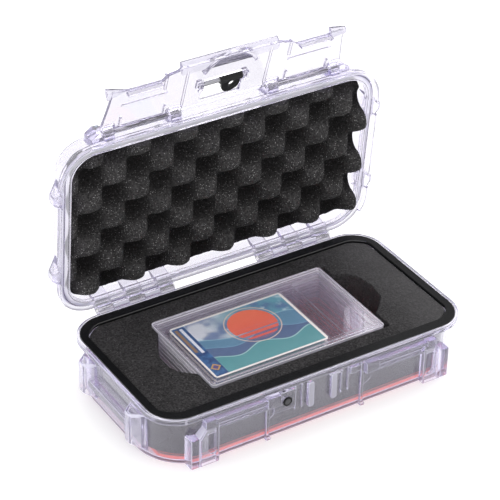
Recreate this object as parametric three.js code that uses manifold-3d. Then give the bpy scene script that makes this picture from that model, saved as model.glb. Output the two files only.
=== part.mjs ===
// Clear latching case for graded cards: hinged lid on two pins, swinging front
// latch, gasket, foam linings and a stack of slabs in the foam pocket.
//
// Millimetres, +Z up. Origin: centre of the flat underside, which rests on z = 0.
// +X runs along the long front towards its right end, +Y from the front to the
// hinge side. The lid is modelled shut and then turned open on its hinge axis;
// the latch is modelled shut and then turned open on its own pin.

import * as THREE from 'three';
import { mergeVertices } from 'three/addons/utils/BufferGeometryUtils.js';
import Module from 'manifold-3d';

const wasm = await Module();
wasm.setup();

// ---------------------------------------------------------------- dimensions
const RIM_Z = 40.5;            // top of the base rim above the floor
const GAP = 0.3;               // air between neighbouring pieces

const BASE_HX = 120.8, BASE_HY = 64.8, BASE_R = 36.0;     // base wall, half sizes
const BAND_HX = 122.2, BAND_HY = 66.2, BAND_R = 24.2;     // rim band
const BAND_Z = 36.2;                                      // underside of the band
const CAV_HX = 118.2, CAV_HY = 62.2, CAV_R = 33.4;        // inside of the base
const FLOOR_Z = 1.8;                                      // inner floor
const SEAT_HX = 120.1, SEAT_HY = 64.75, SEAT_R = 22.3;    // gasket seat
const SEAT_Z = 38.2;
const LEDGE_Z = 36.0;                                     // ledge under the gasket

const GASKET_HX = 119.8, GASKET_HY = 64.45, GASKET_R = 22.0;
const GASKET_CORNER = [[113.8, 45.6], [112.7, 48.4], [110.6, 50.8], [107.6, 53.1], [104.6, 55.1], [101.2, 56.3]];

const PAD_Z0 = 2.1, PAD_Z1 = 7.0;                         // red floor pad
const FOAM_HX = 117.9, FOAM_HY = 61.9, FOAM_R = 33.1;
const FOAM_Z0 = 7.3, FOAM_NECK_Z = 35.7, FOAM_Z1 = 39.2;

const SLAB_L = 136.5, SLAB_W = 82.5, SLAB_H = 6.35, SLAB_PITCH = 6.65;
const SLAB_X0 = -70.55, SLAB_Y0 = -43.25, SLAB_Z0 = 7.3;
const SLAB_COUNT = 5;
const CARD_L = 88.9, CARD_W = 63.5, CARD_T = 0.5;
const CARD_CX = -18.3, CARD_CY = -3.3;

const HINGE_Y = 70.55, HINGE_Z = 40.27;
const HINGE_PIN_R = 1.6, HINGE_BORE_R = 1.9;
const HINGE_X0 = 34.5, HINGE_X1 = 94.5;
const LID_KNUCKLES = [[34.5, 46.0], [58.5, 70.5], [83.0, 94.5]];
const BASE_KNUCKLES = [[46.3, 58.2], [70.8, 82.7]];
const LID_OPEN = 84.5;                                    // degrees, as it stands

const LATCH_Y = -71.0, LATCH_Z = RIM_Z + 7.0;             // latch pin, lid shut
const LATCH_PIN_R = 1.3, LATCH_BORE_R = 1.6;
const LATCH_OPEN = 77.5;                                  // degrees from shut
const LOCK_S = 20.0;                                      // lock pin below the latch pin
const LOCK_R = 1.8, LOCK_BORE_R = 2.1;

const VALVE_X = -28.6, VALVE_Z = RIM_Z - 12.5;

const FOAM_PITCH = 36.5, PEAK_X0 = -102.1, PEAK_Y0 = -27.0;

// ------------------------------------------------------------------- helpers
function solid(geo) {
  const g = geo.clone();
  g.deleteAttribute('normal');
  g.deleteAttribute('uv');
  const m = mergeVertices(g, 1e-4);
  return new wasm.Manifold(new wasm.Mesh({
    numProp: 3,
    vertProperties: new Float32Array(m.attributes.position.array),
    triVerts: new Uint32Array(m.index.array),
  }));
}

function geometry(man) {
  const mesh = man.getMesh();
  const g = new THREE.BufferGeometry();
  const pos = new Float32Array(mesh.numVert * 3);
  for (let i = 0; i < mesh.numVert; i++) {
    for (let k = 0; k < 3; k++) pos[3 * i + k] = mesh.vertProperties[mesh.numProp * i + k];
  }
  g.setAttribute('position', new THREE.BufferAttribute(pos, 3));
  g.setIndex(new THREE.BufferAttribute(new Uint32Array(mesh.triVerts), 1));
  g.computeVertexNormals();
  return g;
}

const join = (list) => list.reduce((a, b) => a.add(b));
const cut = (body, list) => list.reduce((a, b) => a.subtract(b), body);
const both = (fn) => [fn(1), fn(-1)];

const shapeOf = (pts) => new THREE.Shape(pts.map(([x, y]) => new THREE.Vector2(x, y)));

// First-quadrant corner mirrored to the four corners of a closed outline.
function quad(q) {
  return [
    ...q,
    ...q.map(([x, y]) => [-x, y]).reverse(),
    ...q.map(([x, y]) => [-x, -y]),
    ...q.map(([x, y]) => [x, -y]).reverse(),
  ];
}
function rr(hx, hy, r, n = 8) {
  const q = [];
  for (let i = 0; i <= n; i++) {
    const a = (i / n) * Math.PI / 2;
    q.push([hx - r + r * Math.cos(a), hy - r + r * Math.sin(a)]);
  }
  return quad(q);
}
const inset = (q, d) => q.map(([x, y]) => [x - d, y - d]);
const shift = (pts, dx, dy) => pts.map(([x, y]) => [x + dx, y + dy]);
const rect = (x0, x1, y0, y1) => [[x0, y0], [x1, y0], [x1, y1], [x0, y1]];

function extrude(pts, depth) {
  return new THREE.ExtrudeGeometry(shapeOf(pts), { depth, bevelEnabled: false });
}
// Outline in (x, y), along z.
function prismZ(pts, z0, z1) {
  const g = extrude(pts, z1 - z0);
  g.translate(0, 0, z0);
  return solid(g);
}
// Outline in (y, z), along x.
function prismX(pts, x0, x1) {
  const g = extrude(pts, x1 - x0);
  g.applyMatrix4(new THREE.Matrix4().set(0, 0, 1, x0, 1, 0, 0, 0, 0, 1, 0, 0, 0, 0, 0, 1));
  return solid(g);
}
// Outline in (x, z), along y.
function prismY(pts, y0, y1) {
  const g = extrude(pts, y1 - y0);
  g.applyMatrix4(new THREE.Matrix4().set(1, 0, 0, 0, 0, 0, -1, y1, 0, 1, 0, 0, 0, 0, 0, 1));
  return solid(g);
}
// An extrusion in steps whose outlines differ from level to level.
function loft(levels, along = 'z') {
  const steps = levels.length - 1;
  const first = levels[0].pts;
  const g = new THREE.ExtrudeGeometry(shapeOf(first), { depth: steps, steps, bevelEnabled: false });
  const p = g.attributes.position;
  for (let i = 0; i < p.count; i++) {
    const x = p.getX(i), y = p.getY(i), s = Math.round(p.getZ(i));
    let best = 0, bd = Infinity;
    for (let k = 0; k < first.length; k++) {
      const d = (first[k][0] - x) ** 2 + (first[k][1] - y) ** 2;
      if (d < bd) { bd = d; best = k; }
    }
    const [u, v] = levels[s].pts[best];
    p.setXYZ(i, u, v, levels[s].at);
  }
  if (along === 'x') {
    g.applyMatrix4(new THREE.Matrix4().set(0, 0, 1, 0, 1, 0, 0, 0, 0, 1, 0, 0, 0, 0, 0, 1));
  }
  return solid(g);
}
function box(x0, x1, y0, y1, z0, z1) {
  const g = new THREE.BoxGeometry(x1 - x0, y1 - y0, z1 - z0);
  g.translate((x0 + x1) / 2, (y0 + y1) / 2, (z0 + z1) / 2);
  return solid(g);
}
// Box between two |x| values on the side of sign s.
function sbox(s, x0, x1, y0, y1, z0, z1) {
  return s > 0 ? box(x0, x1, y0, y1, z0, z1) : box(-x1, -x0, y0, y1, z0, z1);
}
function sprismX(s, pts, x0, x1) {
  return s > 0 ? prismX(pts, x0, x1) : prismX(pts, -x1, -x0);
}
function cylX(r, x0, x1, y, z, n = 20) {
  const g = new THREE.CylinderGeometry(r, r, x1 - x0, n);
  g.rotateZ(Math.PI / 2);
  g.translate((x0 + x1) / 2, y, z);
  return solid(g);
}
function scylX(s, r, x0, x1, y, z, n = 20) {
  return s > 0 ? cylX(r, x0, x1, y, z, n) : cylX(r, -x1, -x0, y, z, n);
}
function cylY(r, y0, y1, x, z, n = 24) {
  const g = new THREE.CylinderGeometry(r, r, y1 - y0, n);
  g.translate(x, (y0 + y1) / 2, z);
  return solid(g);
}
const mirrorPts = (s, pts) => pts.map(([x, y]) => [s * x, y]);

// ---------------------------------------------------------------- materials
const mat = (color, roughness, metalness, opacity = 1) => new THREE.MeshStandardMaterial({
  color, roughness, metalness, opacity, transparent: opacity < 1,
});
const clear = () => mat(0xe9e6f2, 0.06, 0, 0.35);
const clearSlab = () => mat(0xf0eef6, 0.08, 0, 0.3);
const foamMat = () => mat(0x343434, 0.95, 0);
const redMat = () => mat(0xe0564e, 0.75, 0);
const rubber = () => mat(0x161617, 0.6, 0);
const steel = () => mat(0xc9c9cc, 0.3, 1);
const black = () => mat(0x111112, 0.4, 0);
const cardMat = () => mat(0xe9e2d4, 0.45, 0);

const root = new THREE.Group();
function add(parent, name, man, material) {
  const mesh = new THREE.Mesh(geometry(man), material);
  mesh.name = name;
  parent.add(mesh);
  return mesh;
}

// ---------------------------------------------------------------- base shell
{
  const outer = loft([
    { at: 0, pts: rr(119.0, 63.0, 34.2) },
    { at: 0.6, pts: rr(119.9, 63.9, 35.1) },
    { at: 1.8, pts: rr(120.4, 64.4, 35.6) },
    { at: BAND_Z, pts: rr(BASE_HX, BASE_HY, BASE_R) },
  ]);
  const band = prismZ(rr(BAND_HX, BAND_HY, BAND_R), BAND_Z, RIM_Z);
  const parts = [outer, band];

  // Corner bumpers: four tapered blocks on the two ends, joined by a rib.
  for (const s of [1, -1]) {
    for (const y of [-31.5, 31.5]) {
      const a = rect(y - 10, y + 10, 5.0, 34.4);
      const b = rect(y - 3, y + 3, 10, 33.5);
      parts.push(sbox(s, 114.0, 119.7, y - 10, y + 10, 5.0, 34.4));
      parts.push(s > 0
        ? loft([{ at: 119.6, pts: a }, { at: 128.3, pts: b }], 'x')
        : loft([{ at: -128.3, pts: b }, { at: -119.6, pts: a }], 'x'));
    }
    parts.push(sbox(s, 120.0, 125.6, -30.0, 30.0, 16.4, 22.2));
  }

  for (const s of [1, -1]) {
    // Pillar near each end of the front, full height, with a foot block.
    parts.push(prismY(mirrorPts(s, [[80.8, 0.8], [95.6, 0.8], [95.6, 24.0], [90.0, 31.8], [80.8, 31.8]]), -69.2, -62.0));
    parts.push(sbox(s, 95.4, 101.8, -69.0, -58.8, 0.8, 24.0));
    // Latch rail: a channel with a flange above and below.
    const rail = [[-64.2, 27.0], [-64.2, 34.2], [-69.0, 34.2], [-69.0, 32.5], [-66.6, 32.2], [-66.6, 29.0], [-69.0, 28.7], [-69.0, 27.0]];
    parts.push(sprismX(s, rail, 43.5, 84.0));
    parts.push(sbox(s, 83.0, 91.0, -69.2, -64.0, 25.5, 35.5));
    parts.push(sbox(s, 33.5, 44.0, -69.2, -64.0, 26.9, 35.5));
    // Bosses in the middle of the front.
    parts.push(prismY(shift(rr(2.25, 10.0, 2.0, 3), s * 9.0, 25.4), -67.4, -64.0));
    parts.push(sbox(s, 14.9, 16.1, -66.1, -64.0, 17.0, 35.9));
    parts.push(sbox(s, 20.4, 21.6, -66.1, -64.0, 17.0, 35.9));
  }
  // Thin posts that run down to a small foot, each with a web at its side.
  for (const [x, w] of [[-43.4, 7.4], [31.0, 8.3]]) {
    parts.push(box(x, x + 2.4, -66.3, -62.4, 0.8, 35.4));
    parts.push(prismY([[x + 2.0, 27.5], [x + 2.0, 16.2], [x + w - 2.6, 18.2], [x + w - 0.8, 19.4], [x + w, 21.6], [x + w, 27.5]], -66.1, -64.0));
    parts.push(box(x - 0.3, x + 3.2, -67.4, -62.4, 0.3, 2.4));
  }
  parts.push(box(-38.5, -21.6, -67.5, -64.0, 20.5, 35.5));
  parts.push(box(21.6, 30.5, -67.5, -64.0, 30.5, 35.5));
  parts.push(box(5.0, 15.5, -67.6, -64.0, 35.0, 36.4));

  // Hinge brackets and half-open knuckles on the back wall.
  for (const s of [1, -1]) {
    for (const [x0, x1] of BASE_KNUCKLES) {
      parts.push(sprismX(s, [[64.2, 22.0], [66.4, 22.0], [70.0, 30.5], [74.1, 38.6], [74.1, 39.6], [71.0, 40.0], [66.95, 40.0], [66.3, 36.4], [64.2, 36.4]], x0, x1));
      parts.push(scylX(s, 3.6, x0, x1, HINGE_Y, HINGE_Z));
    }
    // Stiffening posts between the back wall and the floor edge.
    parts.push(sbox(s, 30.2, 32.8, 61.2, 67.0, 0.8, 35.9));
    parts.push(sbox(s, 96.4, 99.0, 61.2, 67.0, 0.8, 35.9));
  }

  const cuts = [
    loft([
      { at: FLOOR_Z, pts: rr(CAV_HX - 1.0, CAV_HY - 1.0, CAV_R - 1.0) },
      { at: FLOOR_Z + 1.4, pts: rr(CAV_HX, CAV_HY, CAV_R) },
      { at: LEDGE_Z, pts: rr(CAV_HX, CAV_HY, CAV_R) },
    ]),
    prismZ(quad(inset(GASKET_CORNER, -0.1)), LEDGE_Z - 1, RIM_Z + 1),
    prismZ(rr(SEAT_HX, SEAT_HY, SEAT_R), SEAT_Z, RIM_Z + 1),
    cylY(2.75, -70, -61, VALVE_X, VALVE_Z),
  ];
  for (const s of [1, -1]) {
    // Pillars and end bumpers are hollow from below; a window opens the pillar.
    cuts.push(prismY(mirrorPts(s, [[82.8, -1.0], [93.8, -1.0], [93.8, 21.5], [89.6, 28.0], [82.8, 28.0]]), -67.5, -65.3));
    cuts.push(prismY(mirrorPts(s, [[82.8, 25.2], [82.8, 9.2], [83.6, 8.2], [86.0, 8.2], [87.8, 9.2], [89.0, 11.4], [89.4, 14.0], [89.4, 25.2]]), -70.0, -65.3));
    for (const y of [-31.5, 31.5]) {
      const a = rect(y - 6.7, y + 6.7, -1.0, 32.4);
      const b = rect(y - 2.4, y + 2.4, -1.0, 31.7);
      cuts.push(s > 0
        ? loft([{ at: 121.2, pts: a }, { at: 126.4, pts: b }], 'x')
        : loft([{ at: -126.4, pts: b }, { at: -121.2, pts: a }], 'x'));
    }
    for (const [x0, x1] of BASE_KNUCKLES) {
      cuts.push(scylX(s, HINGE_BORE_R, x0 - 1, x1 + 1, HINGE_Y, HINGE_Z));
      cuts.push(sbox(s, x0 - 1, x1 + 1, HINGE_Y - 1.3, HINGE_Y + 1.3, HINGE_Z, HINGE_Z + 6));
    }
  }
  add(root, 'base_shell', cut(join(parts), cuts), clear());
}

// -------------------------------------------------------------------- gasket
{
  const ring = loft([
    { at: SEAT_Z + GAP, pts: rr(GASKET_HX, GASKET_HY, GASKET_R) },
    { at: RIM_Z - 0.5, pts: rr(GASKET_HX, GASKET_HY, GASKET_R) },
    { at: RIM_Z, pts: rr(GASKET_HX - 0.5, GASKET_HY - 0.5, GASKET_R - 0.5) },
  ]);
  add(root, 'gasket', ring.subtract(prismZ(quad(inset(GASKET_CORNER, 0)), SEAT_Z - 1, RIM_Z + 1)), rubber());
}

// ------------------------------------------------- floor pad and foam insert
add(root, 'bottom_pad', loft([
  { at: PAD_Z0, pts: rr(CAV_HX - 1.3, CAV_HY - 1.3, CAV_R - 1.3) },
  { at: PAD_Z0 + 1.4, pts: rr(CAV_HX - GAP, CAV_HY - GAP, CAV_R - GAP) },
  { at: PAD_Z1, pts: rr(CAV_HX - GAP, CAV_HY - GAP, CAV_R - GAP) },
]), redMat());
{
  const lower = prismZ(rr(FOAM_HX, FOAM_HY, FOAM_R), FOAM_Z0, FOAM_NECK_Z);
  const neck = prismZ(quad(inset(GASKET_CORNER, 0.35)), FOAM_NECK_Z - 0.4, FOAM_Z1);
  // Pocket for the slabs with a finger notch at each end.
  const pocket = [
    [-71.0, -44.2], [69.5, -44.2], [69.5, -26.4], [71.4, -25.2], [76.8, -20.0], [83.5, -12.7], [86.0, 3.0],
    [83.8, 16.0], [78.0, 23.8], [72.5, 25.6], [69.5, 27.0], [69.5, 40.0], [-71.0, 40.0],
    [-71.0, 27.2], [-74.0, 23.6], [-78.2, 15.7], [-83.5, 3.0], [-83.4, -10.0], [-80.0, -17.2], [-74.6, -22.4], [-71.0, -25.0],
  ];
  add(root, 'foam_insert', cut(join([lower, neck]), [prismZ(pocket, FOAM_Z0 - 1, FOAM_Z1 + 1)]), foamMat());
}

// --------------------------------------------------------------------- slabs
{
  const cx = SLAB_X0 + SLAB_L / 2, cy = SLAB_Y0 + SLAB_W / 2;
  const outline = shift(rr(SLAB_L / 2, SLAB_W / 2, 3.0, 3), cx, cy);
  // Raised edge on both faces, so slabs stack without rubbing their windows.
  const window = rect(-67.5, 62.5, -37.0, 35.5);
  const well = shift(rect(-CARD_L / 2 - 0.5, CARD_L / 2 + 0.5, -CARD_W / 2 - 0.5, CARD_W / 2 + 0.5), CARD_CX, CARD_CY);
  const label = shift(rr(11.2, 34.0, 2.0, 2), 49.2, -2.5);
  for (let k = 1; k <= SLAB_COUNT; k++) {
    const z = SLAB_Z0 + (k - 1) * SLAB_PITCH;
    const back = cut(prismZ(outline, z, z + 3.0), [
      prismZ(window, z - 1, z + 0.6),
      prismZ(well, z + 2.5, z + 4),
      prismZ(label, z + 2.0, z + 4),
    ]);
    const front = cut(prismZ(outline, z + 3.3, z + SLAB_H), [
      prismZ(window, z + SLAB_H - 0.6, z + SLAB_H + 1),
      prismZ(well, z + 2, z + 3.85),
      prismZ(label, z + 2, z + 4.3),
    ]);
    add(root, `slab_${k}_back`, back, clearSlab());
    add(root, `card_${k}`, prismZ(shift(rr(CARD_L / 2, CARD_W / 2, 3.0, 2), CARD_CX, CARD_CY), z + 2.92, z + 2.92 + CARD_T), cardMat());
    add(root, `slab_${k}_front`, front, clearSlab());
  }
}

// --------------------------------------------------------------- hinge pins
for (const [s, side] of [[1, 'right'], [-1, 'left']]) {
  add(root, `hinge_pin_${side}`, scylX(s, HINGE_PIN_R, HINGE_X0 + 0.2, HINGE_X1 - 0.2, HINGE_Y, HINGE_Z, 16), steel());
}

// --------------------------------------------------------------- purge valve
{
  const head = cylY(3.4, -69.0, -67.8, VALVE_X, VALVE_Z, 24);
  const stem = cylY(2.4, -68.0, -62.4, VALVE_X, VALVE_Z, 16);
  add(root, 'purge_valve', cut(join([head, stem]), [cylY(2.5, -70, -68.3, VALVE_X, VALVE_Z, 20), cylY(1.0, -70, -62, VALVE_X, VALVE_Z, 12)]), black());
  const disc = new THREE.CylinderGeometry(2.2, 2.2, 0.35, 20);
  disc.translate(VALVE_X, -68.77, VALVE_Z);
  add(root, 'purge_membrane', solid(disc), mat(0xd8d8dc, 0.7, 0));
}

// ----------------------------------------------------------------- lid, shut
// The lid group turns about the hinge axis; everything in it is drawn shut.
const lid = new THREE.Group();
lid.position.set(0, HINGE_Y, HINGE_Z);
lid.rotation.x = -LID_OPEN * Math.PI / 180;
const lidBody = new THREE.Group();
lidBody.position.set(0, -HINGE_Y, -HINGE_Z);
lid.add(lidBody);
root.add(lid);
const LZ = RIM_Z;              // lid heights below are given from the rim plane

{
  const flange = loft([
    { at: LZ + 0.3, pts: rr(124.0, 68.0, 26.0) },
    { at: LZ + 2.6, pts: rr(124.0, 68.0, 26.0) },
    { at: LZ + 3.2, pts: rr(123.4, 67.4, 25.4) },
  ]);
  const skirt = cut(prismZ(rr(124.0, 68.0, 26.0), LZ - 2.8, LZ + 0.5), [
    prismZ(rr(122.5, 66.5, 24.5), LZ - 4, LZ + 2),
    box(-130, 130, 56, 80, LZ - 4, LZ + 0.3),
  ]);
  const crown = loft([
    { at: LZ + 2.0, pts: rr(121.6, 65.6, 23.6) },
    { at: LZ + 16.0, pts: rr(119.6, 63.6, 21.6) },
    { at: LZ + 19.0, pts: rr(118.2, 62.2, 20.2) },
    { at: LZ + 20.5, pts: rr(116.0, 60.0, 18.0) },
  ]);
  const parts = [flange, skirt, crown];

  for (const s of [1, -1]) {
    // End bumpers, in line with those of the base.
    for (const y of [-31.5, 31.5]) {
      const a = rect(y - 10, y + 10, LZ - 2.4, LZ + 15.0);
      const b = rect(y - 3, y + 3, LZ + 0.3, LZ + 7.5);
      parts.push(s > 0
        ? loft([{ at: 119.0, pts: a }, { at: 128.3, pts: b }], 'x')
        : loft([{ at: -128.3, pts: b }, { at: -119.0, pts: a }], 'x'));
    }
    // Latch lugs with rounded noses, and a gusset block beside the outer one.
    for (const [x0, x1] of [[33.5, 41.5], [83.5, 91.0]]) {
      parts.push(sprismX(s, [[-63.0, LZ + 1.0], [-68.0, LZ + 1.0], [-71.0, LZ + 2.2], [-71.0, LZ + 11.9], [-66.5, LZ + 13.5], [-63.0, LZ + 15.5]], x0, x1));
      parts.push(scylX(s, 5.0, x0, x1, LATCH_Y, LATCH_Z, 24));
    }
    parts.push(prismZ(mirrorPts(s, [[89.8, -61.5], [89.8, -73.6], [95.0, -74.0], [100.0, -70.2], [100.0, -61.5]]), LZ + 3.0, LZ + 13.5));
    // Hinge knuckles with tall gussets on the back wall.
    for (const [x0, x1] of LID_KNUCKLES) {
      parts.push(sprismX(s, [[63.0, LZ + 0.6], [67.6, LZ + 0.6], [HINGE_Y, HINGE_Z + 3.3], [72.4, HINGE_Z + 3.0], [69.2, LZ + 8.5], [65.8, LZ + 15.0], [63.0, LZ + 15.8]], x0, x1));
      parts.push(scylX(s, 3.5, x0, x1, HINGE_Y, HINGE_Z));
    }
  }

  const cuts = [
    // Room inside the skirt for the rim of the base.
    prismZ(rr(122.5, 66.5, 24.5), LZ - 4, LZ + 0.3),
    // Opening through the flange, then the hollow of the crown.
    prismZ(rr(115.1, 60.3, 18.0), LZ - 4, LZ + 4.0),
    loft([
      { at: LZ + 3.0, pts: rr(118.8, 62.8, 20.8) },
      { at: LZ + 15.5, pts: rr(117.2, 61.2, 19.2) },
      { at: LZ + 18.4, pts: rr(115.9, 59.9, 17.9) },
    ]),
    // Shallow panel in the top face.
    prismZ(rr(104.0, 48.0, 10.0, 4), LZ + 20.0, LZ + 22),
  ];
  for (const s of [1, -1]) {
    for (const y of [-31.5, 31.5]) {
      const a = rect(y - 5.7, y + 5.7, LZ - 4, LZ + 10.5);
      const b = rect(y - 2.4, y + 2.4, LZ - 4, LZ + 6.9);
      cuts.push(s > 0
        ? loft([{ at: 122.0, pts: a }, { at: 126.4, pts: b }], 'x')
        : loft([{ at: -126.4, pts: b }, { at: -122.0, pts: a }], 'x'));
    }
    for (const [x0, x1] of BASE_KNUCKLES) {
      cuts.push(sbox(s, x0 - 0.3, x1 + 0.3, 66.2, 80, LZ - 4, LZ + 4.2));
    }
    for (const [x0, x1] of LID_KNUCKLES) {
      cuts.push(scylX(s, HINGE_BORE_R, x0 - 1, x1 + 1, HINGE_Y, HINGE_Z));
    }
    for (const [x0, x1] of [[33.5, 41.5], [83.5, 91.0]]) {
      cuts.push(scylX(s, LATCH_BORE_R, x0 - 1, x1 + 1, LATCH_Y, LATCH_Z, 16));
    }
  }
  add(lidBody, 'lid_shell', cut(join(parts), cuts), clear());
}

// Egg-crate foam: a backing block with square-based peaks in a checkerboard.
{
  const block = prismZ(rr(114.6, 59.0, 16.8), LZ + 6.0, LZ + 18.0);
  const peaks = [];
  const half = FOAM_PITCH / 2;
  for (let i = 0; i < 12; i++) {
    for (let j = -1; j < 5; j++) {
      if ((i + j) % 2 !== 0) continue;
      const x = PEAK_X0 + i * half, y = PEAK_Y0 + j * half;
      if (Math.abs(y) > 50) continue;
      peaks.push(loft([
        { at: LZ + 0.6, pts: shift(rect(-3.0, 3.0, -3.0, 3.0), x, y) },
        { at: LZ + 6.5, pts: shift(rect(-8.4, 8.4, -8.4, 8.4), x, y) },
      ]));
    }
  }
  add(lidBody, 'lid_foam', join([block, ...peaks]), foamMat());
}

for (const [s, side] of [[1, 'right'], [-1, 'left']]) {
  add(lidBody, `latch_pin_${side}`, scylX(s, LATCH_PIN_R, 34.0, 90.6, LATCH_Y, LATCH_Z, 14), steel());
}

// --------------------------------------------------------------- latch, shut
// The latch group turns about its pin. Heights on it run down from the pin:
// s = distance below the pin axis.
const latch = new THREE.Group();
latch.position.set(0, LATCH_Y, LATCH_Z);
latch.rotation.x = -LATCH_OPEN * Math.PI / 180;
lidBody.add(latch);
// Drawn about the pin axis: local x = x, y = y - LATCH_Y, z = -s.
{
  const T0 = -1.2, T1 = 1.2;                     // plate, centred on the pin
  const half = [
    [0, -2.5], [32.5, -2.5], [32.5, -6.8], [42.5, -6.8], [42.5, -0.5], [82.5, -0.5], [82.5, -6.8], [92.2, -6.8],
    [91.0, -13.0], [88.6, -29.0], [88.0, -35.6], [77.6, -35.4], [76.0, -34.6], [51.2, -34.6], [46.6, -38.6], [40.5, -39.6], [38.5, -41.0],
  ];
  const plate = prismY([...half, ...half.slice(1).reverse().map(([x, z]) => [-x, z])], T0, T1);
  const parts = [plate];
  for (const s of [1, -1]) {
    parts.push(scylX(s, 3.0, 42.5, 82.5, 0, 0, 20));
    // Hook rib that snaps under the rail of the base.
    parts.push(sprismX(s, [[T1 - 0.4, -23.7], [T1 + 2.2, -23.5], [T1 + 2.4, -21.5], [T1 - 0.4, -20.7]], 46.0, 80.0));
    // Thumb ear, standing off the outer face.
    parts.push(sprismX(s, [[0.4, -28.0], [-1.2, -28.4], [-4.8, -33.4], [-5.4, -36.0], [-4.2, -36.6], [-1.0, -35.4], [0.4, -34.0]], 79.0, 91.4));
    // Flange turned in along the lower edge of the wing.
    parts.push(sprismX(s, [[-0.6, -34.6], [-0.6, -32.2], [1.2, -32.4], [5.0, -33.0], [5.0, -34.4], [1.2, -34.6]], 52.4, 78.0));
    // Web from the wing up to the middle grip, and small inner ribs.
    parts.push(sbox(s, 46.6, 48.2, -3.2, 1.0, -37.0, -24.0));
    parts.push(sbox(s, 31.0, 32.5, -2.6, 0, -39.0, -4.0));
    parts.push(sbox(s, 46.0, 47.5, 0.8, 2.6, -12.4, -5.0));
    parts.push(sbox(s, 78.5, 80.0, 0.8, 2.6, -12.4, -5.0));
  }
  // Flared grip along the lower edge of the middle.
  parts.push(prismX([[T0 + 0.6, -33.0], [-3.4, -37.6], [-5.6, -41.6], [-3.6, -42.4], [T1 - 0.4, -40.2], [T1, -36.0]], -37.0, 37.0));
  // Arch ridge over the window.
  const arch = [];
  for (let i = 0; i <= 12; i++) {
    const a = (208 + i * 124 / 12) * Math.PI / 180;
    arch.push([1.3 + 23.8 * Math.cos(a), -18.4 + 23.8 * Math.sin(a)]);
  }
  for (let i = 12; i >= 0; i--) {
    const a = (208 + i * 124 / 12) * Math.PI / 180;
    arch.push([1.3 + 21.4 * Math.cos(a), -18.4 + 21.4 * Math.sin(a)]);
  }
  parts.push(prismY(arch, T0 - 3.0, 0));
  // Bosses for the ends of the lock pin.
  for (const [x0, x1] of [[-23.0, -19.2], [11.4, 15.2]]) {
    parts.push(box(x0, x1, -3.4, 3.4, -LOCK_S - 3.4, -LOCK_S + 3.4));
  }
  const cuts = [
    prismY(rect(-19.2, 11.4, -23.9, -5.5), T0 - 6, T1 + 6),
    cylX(LOCK_BORE_R, -21.8, 13.9, 0, -LOCK_S, 16),
  ];
  for (const s of [1, -1]) {
    cuts.push(scylX(s, LATCH_BORE_R, 41.0, 84.0, 0, 0, 16));
  }
  add(latch, 'latch', cut(join(parts), cuts), clear());
}
add(latch, 'lock_pin', cylX(LOCK_R, -21.5, 13.6, 0, -LOCK_S, 16), mat(0x55555c, 0.45, 0.6));
{
  // Lock tab: a tapered plate hanging on the lock pin, with a hole.
  const face = [[-5.4, -20.0], [10.8, -20.0], [10.7, -16.5], [10.0, -11.8], [8.6, -9.2], [4.2, -7.4], [0.6, -7.5], [-1.8, -8.9], [-3.0, -11.5], [-3.6, -15.4], [-5.2, -17.2]];
  const plate = prismY(face, -1.7, 1.7);
  const hub = cylX(3.2, -6.0, 10.8, 0, -LOCK_S, 20);
  add(latch, 'lock_tab', cut(join([plate, hub]), [
    cylX(LOCK_BORE_R, -8, 13, 0, -LOCK_S, 16),
    cylY(2.2, -4, 4, 4.2, -13.9, 16),
  ]), black());
}

root.updateMatrixWorld(true);
export default root;
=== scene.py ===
import math

import bmesh
import bpy
import numpy as np
from mathutils import Matrix, Vector


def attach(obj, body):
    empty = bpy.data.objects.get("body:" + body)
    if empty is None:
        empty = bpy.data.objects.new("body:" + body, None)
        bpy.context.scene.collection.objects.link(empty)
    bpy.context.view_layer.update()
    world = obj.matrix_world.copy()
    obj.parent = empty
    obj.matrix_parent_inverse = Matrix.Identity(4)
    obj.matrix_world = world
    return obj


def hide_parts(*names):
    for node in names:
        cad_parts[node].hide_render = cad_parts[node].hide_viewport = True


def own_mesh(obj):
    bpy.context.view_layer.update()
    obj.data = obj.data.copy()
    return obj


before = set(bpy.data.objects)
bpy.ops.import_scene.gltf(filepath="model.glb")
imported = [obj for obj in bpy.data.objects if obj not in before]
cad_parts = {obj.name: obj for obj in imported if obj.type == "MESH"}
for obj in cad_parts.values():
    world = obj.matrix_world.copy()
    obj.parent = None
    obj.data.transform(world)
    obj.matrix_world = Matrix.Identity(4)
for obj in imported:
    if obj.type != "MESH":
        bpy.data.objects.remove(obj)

MM = 0.001
SCENE = bpy.context.scene
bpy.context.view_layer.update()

# ---------------------------------------------------------------- main sizes
RIM = 40.5                          # top of the base rim above the floor
HINGE = Vector((0, 70.55, 40.27)) * MM
LID_OPEN = math.radians(-84.5)


def open_lid(p):
    """A point of the shut lid, in metres, moved to where the lid stands open."""
    return HINGE + Matrix.Rotation(LID_OPEN, 3, "X") @ (Vector(p) - HINGE)


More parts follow.
